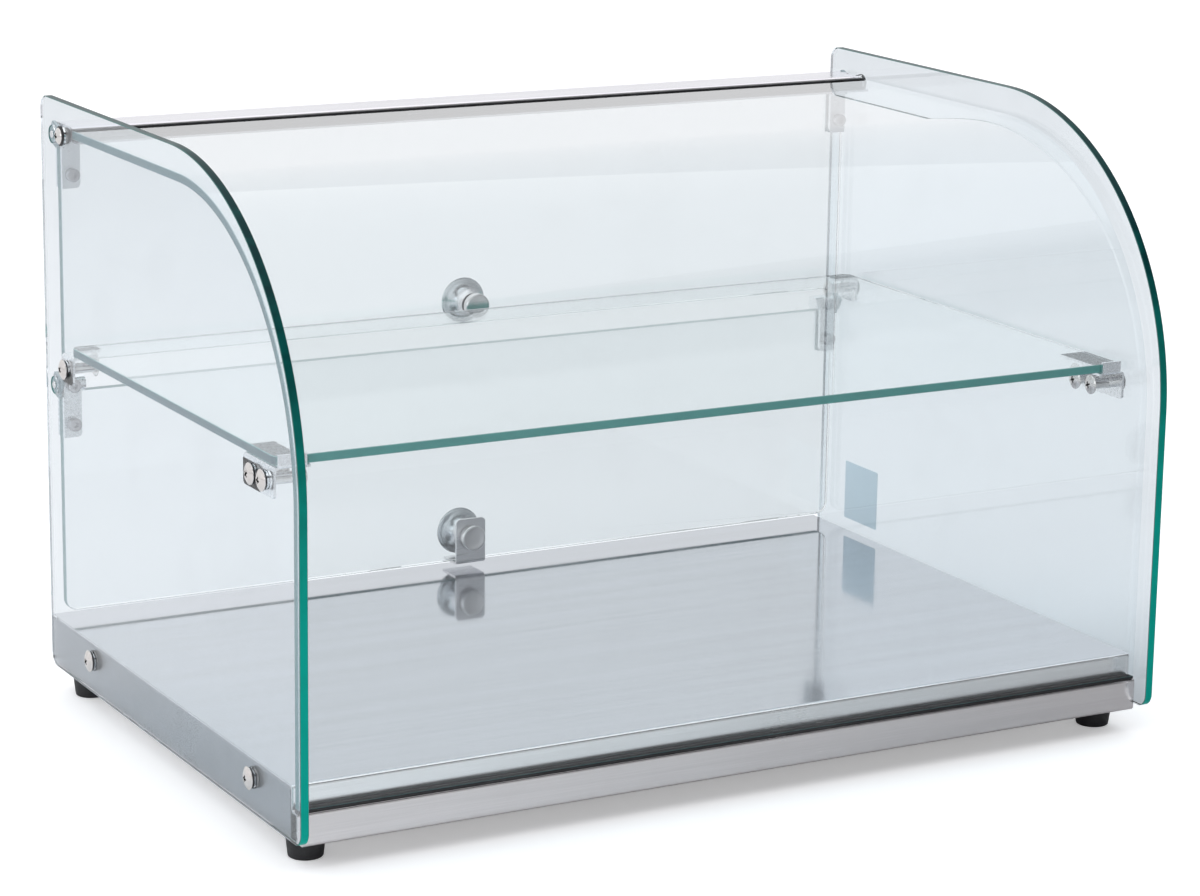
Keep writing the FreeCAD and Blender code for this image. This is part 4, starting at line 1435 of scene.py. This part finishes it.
    def knob(self) -> None:
        """Turn the knob outside the door: a foot, a flared neck and a dished disc."""
        node = self.level + "_door_knob"
        low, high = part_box(node)
        height = high.y - low.y
        rim_low = height - self.crown_rise - self.rim_rise
        flare_radius = self.disc_radius - 1.0 * MM - self.neck_radius
        flare_rise = rim_low - self.foot_rise - 1.0 * MM
        flare = []
        for step in range(self.flare_steps + 1):
            angle = step / self.flare_steps * math.pi / 2.0
            flare.append((self.foot_rise + 1.0 * MM + flare_rise * math.sin(angle),
                          self.neck_radius + flare_radius * (1.0 - math.cos(angle))))
        r = self.edge_round
        profile = [(0.0, 0.0), (0.0, self.foot_radius - r)]
        profile += arc((r, self.foot_radius - r), r, 180.0, 90.0, 3)[1:]
        profile += [(self.foot_rise - r, self.foot_radius)]
        profile += arc((self.foot_rise - r, self.foot_radius - r), r, 90.0, 30.0, 3)[1:]
        profile += flare
        top = height - self.crown_rise
        profile += arc((top - r, self.disc_radius - r), r, 150.0, 20.0, 5)
        dome = (self.disc_radius ** 2 + self.crown_rise ** 2) / (2.0 * self.crown_rise)
        start = math.degrees(math.asin((self.disc_radius - 2.0 * r) / dome))
        profile += arc((height - dome, 0.0), dome, start, 0.0, 10)
        centre = low_middle((low, high), Axis.Y)
        piece = turned(f"{self.level}_turned_knob", profile, centre, REARWARD, KNOB_STEPS)
        material = TurnedMetal(self.level + " knob metal", (0.8, 0.8, 0.81), tuple(centre)).make(
            self.case.effects)
        self.case.stand_for(piece, node, material)

    def cap(self) -> None:
        """Turn the cap inside the door with its stud through the glass."""
        node = self.level + "_knob_cap"
        low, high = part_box(node)
        radius = (high.x - low.x) / 2.0
        r = self.cap_edge
        profile = [(0.0, 0.0), (0.0, 0.3 * MM), (0.25 * MM, radius - 2.2 * r), (0.12 * MM, radius - 1.5 * r)]
        profile += arc((r, radius - r), r, 180.0, 90.0, 6)[1:]
        profile += [(self.cap_rise - 0.3 * MM, radius), (self.cap_rise, radius - 0.3 * MM),
                    (self.cap_rise, self.stud_radius), (high.y - low.y, self.stud_radius),
                    (high.y - low.y, 0.0)]
        centre = low_middle((low, high), Axis.Y)
        piece = turned(f"{self.level}_turned_cap", profile, centre, REARWARD, CAP_STEPS)
        material = TurnedMetal(self.level + " cap metal", (0.82, 0.81, 0.81), tuple(centre),
                               (0.2, 0.34)).make(self.case.effects)
        self.case.stand_for(piece, node, material)

    def build(self) -> None:
        """Build and finish everything on one door."""
        effects = self.case.effects
        clip = PlatedMetal(self.level + " clip metal", (0.86, 0.88, 0.9), (0.22, 0.3), 900.0, 0.95).make(
            effects)
        socket = PlatedMetal(self.level + " socket screws", (0.5, 0.5, 0.52), (0.12, 0.2)).make(effects)
        pin = PlatedMetal(self.level + " pin metal", (0.74, 0.76, 0.78), (0.04, 0.08)).make(effects)
        nylon = ClearNylon(self.level + " bush nylon", (0.36, 0.47, 0.51)).make(effects)
        fibre = Rubber(self.level + " knob washer", (0.05, 0.05, 0.055)).make(effects)
        self.knob()
        self.cap()
        for side in SIDES:
            self.case.finish_nodes((f"{self.level}_hinge_clip_{side}",), clip)
            self.case.finish_nodes((f"{self.level}_hinge_pin_{side}",), pin)
            self.bush(side, nylon)
        self.socket_screws(socket)
        self.case.finish_nodes((self.level + "_clip_liners",), nylon)
        self.case.finish_nodes((self.level + "_knob_washers",), fibre)


@dataclass
class SoftParts:
    """Rubber feet, seals and the blank label."""

    case: Case
    foot_round: float = 1.1 * MM
    recess_radius: float = 4.6 * MM
    recess_depth: float = 6.0 * MM
    top_radius: float = 11.5 * MM
    bottom_radius: float = 9.8 * MM
    hole_radius: float = 2.3 * MM

    def foot(self, node: str, material: bpy.types.Material) -> None:
        """Turn one tapered foot with its screw recess and a moulded step under the base.

        Args:
            node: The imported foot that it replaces.
            material: The rubber.
        """
        low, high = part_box(node)
        height = high.z - low.z
        r = self.foot_round
        profile = [(self.recess_depth, self.hole_radius), (self.recess_depth, self.recess_radius),
                   (0.5 * MM, self.recess_radius), (0.0, self.recess_radius + 0.5 * MM)]
        profile += arc((r, self.bottom_radius - r), r, 180.0, 95.0, 6)
        profile += [(height - 1.6 * MM, self.top_radius - 0.45 * MM), (height - 1.3 * MM, self.top_radius),
                    (height - 0.2 * MM, self.top_radius), (height, self.top_radius - 0.2 * MM),
                    (height, self.hole_radius), (self.recess_depth, self.hole_radius)]
        centre = low_middle((low, high), Axis.Z)
        piece = turned(node + "_moulded", profile, centre, UP, CAP_STEPS)
        self.case.stand_for(piece, node, material)

    def build(self) -> None:
        """Build the feet and finish the seals and the label."""
        effects = self.case.effects
        rubber = Rubber("black rubber", (0.012, 0.012, 0.014)).make(effects)
        seal = Rubber("black seal", (0.01, 0.01, 0.012), (0.35, 0.5)).make(effects)
        film = Film("blank film", (0.93, 0.97, 0.985), (0.88, 0.93, 0.95)).make(effects)
        for row in ROWS:
            for side in SIDES:
                self.foot(f"foot_{row}_{side}", rubber)
        self.case.finish_nodes(("front_glass_seat", "top_edge_seal"), seal)
        self.case.finish_nodes(("blank_label",), film)


# ---------------------------------------------------------------- studio


@dataclass
class Studio:
    """The pale floor, the soft light and the camera."""

    camera_place: tuple[float, float, float] = (-1.0238, -1.8661, 0.6866)
    yaw: float = 0.5028
    pitch: float = 0.2409
    roll: float = 0.0145
    lens: float = 110.5
    floor_size: float = 30.0
    floor_pale: Colour = (0.93, 0.935, 0.945)
    # The colour of the painted floor shade, seen only in reflections.
    floor_painted_shade_colour: Colour = (0.5, 0.5, 0.51)
    floor_glow: float = 0.32
    sky: Colour = (0.98, 0.985, 1.0)
    dim: Colour = (0.22, 0.22, 0.23)
    dim_toward: tuple[float, float, float] = (0.85, -0.5, 0.1)
    dim_span: tuple[float, float] = (0.6, 0.97)
    strip: Colour = (0.05, 0.05, 0.055)
    strip_start: tuple[float, float] = (0.42, 0.5)
    strip_end: tuple[float, float] = (0.82, 0.72)
    strip_ahead: tuple[float, float] = (-0.1, -0.4)
    shade_right: tuple[float, float] = (-0.35, 0.45)
    shade_ahead: tuple[float, float] = (0.1, -0.25)
    lamp_aim: tuple[float, float, float] = (0.0, 0.0, 0.2)

    def camera(self) -> None:
        """Place the camera to the left of the case, looking slightly down."""
        across = Vector((math.cos(self.yaw), -math.sin(self.yaw), 0.0))
        ahead = Vector((math.sin(self.yaw) * math.cos(self.pitch),
                        math.cos(self.yaw) * math.cos(self.pitch), -math.sin(self.pitch)))
        upward = across.cross(ahead)
        right = across * math.cos(self.roll) + upward * math.sin(self.roll)
        top = upward * math.cos(self.roll) - across * math.sin(self.roll)
        data = bpy.data.cameras.new("camera")
        data.lens = self.lens
        data.sensor_width = 36.0
        data.clip_start = 0.01
        data.clip_end = 200.0
        camera = bpy.data.objects.new("camera", data)
        camera.matrix_world = Matrix.Translation(self.camera_place) @ Matrix(
            (right, top, -ahead)).transposed().to_4x4()
        bpy.context.scene.collection.objects.link(camera)
        bpy.context.scene.camera = camera

    def floor(self) -> None:
        """Lay a wide pale floor that glows white to the camera, with painted shade in front of and to the
        right of the case that only other rays see.
        """
        floor = add_primitive("plane", UNTURNED, size=self.floor_size)
        floor.name = "studio_floor"
        material = bpy.data.materials.new("pale floor")
        material.use_nodes = True
        tree = Tree(material.node_tree)
        # Painted shade: a dim patch in front and to the right, hidden from the camera, darkens what the
        # steel reflects.
        place = tree.add("SeparateXYZ")
        tree.set(place, Vector=tree.add("TexCoord").outputs["Object"])
        right = tree.span(place.outputs["X"], *self.shade_right)
        ahead = tree.span(place.outputs["Y"], *self.shade_ahead)
        shade = tree.math("MULTIPLY", right, ahead)
        seen = tree.add("LightPath").outputs["Is Camera Ray"]
        painted_floor_shade = tree.math("MULTIPLY", shade, tree.math("SUBTRACT", 1.0, seen))
        shader = tree.add("BsdfPrincipled")
        tree.set(shader, Base_Color=tree.blend(painted_floor_shade, self.floor_pale, self.floor_painted_shade_colour), Roughness=0.9,
                 Specular_IOR_Level=0.1, Emission_Color=rgba(WHITE),
                 Emission_Strength=tree.math("MULTIPLY", seen, self.floor_glow))
        output = tree.add("OutputMaterial")
        tree.link(shader.outputs[0], output.inputs["Surface"])
        dress(floor, material)

    def world(self) -> None:
        """Light the room softly: bright all round, dim to the front right, with a dark high band."""
        world = bpy.data.worlds.new("studio")
        bpy.context.scene.world = world
        world.use_nodes = True
        tree = Tree(world.node_tree)
        toward = tree.add("VectorMath", operation="DOT_PRODUCT")
        tree.link(tree.add("TexCoord").outputs["Generated"], toward.inputs[0])
        toward.inputs[1].default_value = Vector(self.dim_toward).normalized()
        share = tree.span(toward.outputs["Value"], *self.dim_span)
        colour = tree.blend(share, self.sky, self.dim)
        way = tree.add("SeparateXYZ")
        tree.set(way, Vector=tree.add("TexCoord").outputs["Generated"])
        strip = tree.math("MULTIPLY", tree.span(way.outputs["Z"], *self.strip_start),
                          tree.span(way.outputs["Z"], *self.strip_end))
        strip = tree.math("MULTIPLY", strip, tree.span(way.outputs["Y"], *self.strip_ahead))
        colour = tree.blend(strip, colour, self.strip)
        light = tree.add("LightPath")
        colour = tree.blend(light.outputs["Is Camera Ray"], colour, WHITE)
        background = tree.add("Background")
        tree.set(background, Color=colour)
        output = tree.add("OutputWorld")
        tree.link(background.outputs[0], output.inputs["Surface"])

    def lamp(self, name: str, place: Vector, size: tuple[float, float], power: float) -> None:
        """Hang one soft box that faces the case.

        Args:
            name: The lamp's name.
            place: Where it hangs.
            size: Its width and height.
            power: Its power in watts.
        """
        data = bpy.data.lights.new(name, "AREA")
        data.shape = "RECTANGLE"
        data.size, data.size_y = size
        data.energy = power
        lamp = bpy.data.objects.new(name, data)
        lamp.matrix_world = Matrix.Translation(place) @ (Vector(self.lamp_aim) - place).to_track_quat(
            "-Z", "Y").to_matrix().to_4x4()
        bpy.context.scene.collection.objects.link(lamp)

    def build(self) -> None:
        """Set up the whole studio."""
        self.camera()
        self.floor()
        self.world()
        self.lamp("overhead", Vector((-0.2, 0.3, 2.6)), (4.5, 4.5), 22.0)
        self.lamp("left", Vector((-2.4, -0.6, 1.2)), (1.2, 1.6), 6.0)
        scene = bpy.context.scene
        scene.view_settings.view_transform = "Standard"
        scene.cycles.max_bounces = 20
        scene.cycles.transmission_bounces = 20
        scene.cycles.transparent_max_bounces = 24
        scene.cycles.glossy_bounces = 8
        scene.cycles.sample_clamp_indirect = 6.0


def main() -> None:
    """Build and dress the showcase, then set up the studio."""
    logging.basicConfig(level=logging.INFO, format="%(message)s")
    record = frame["record"]
    case = Case(nodes=frame["nodes"], bodies=record["behaviour"]["bodies"], effects=Effects(),
                slots={part["node"]: part["material_slot"] for part in record["subparts"]})
    GlassPanes(case).build()
    SteelWork(case).build()
    Screws(case).build()
    for level in LEVELS:
        DoorFittings(case, level).build()
    SoftParts(case).build()
    Studio().build()
    LOG.info("%d new pieces", len(case.report))


if __name__ == "__main__":
    main()
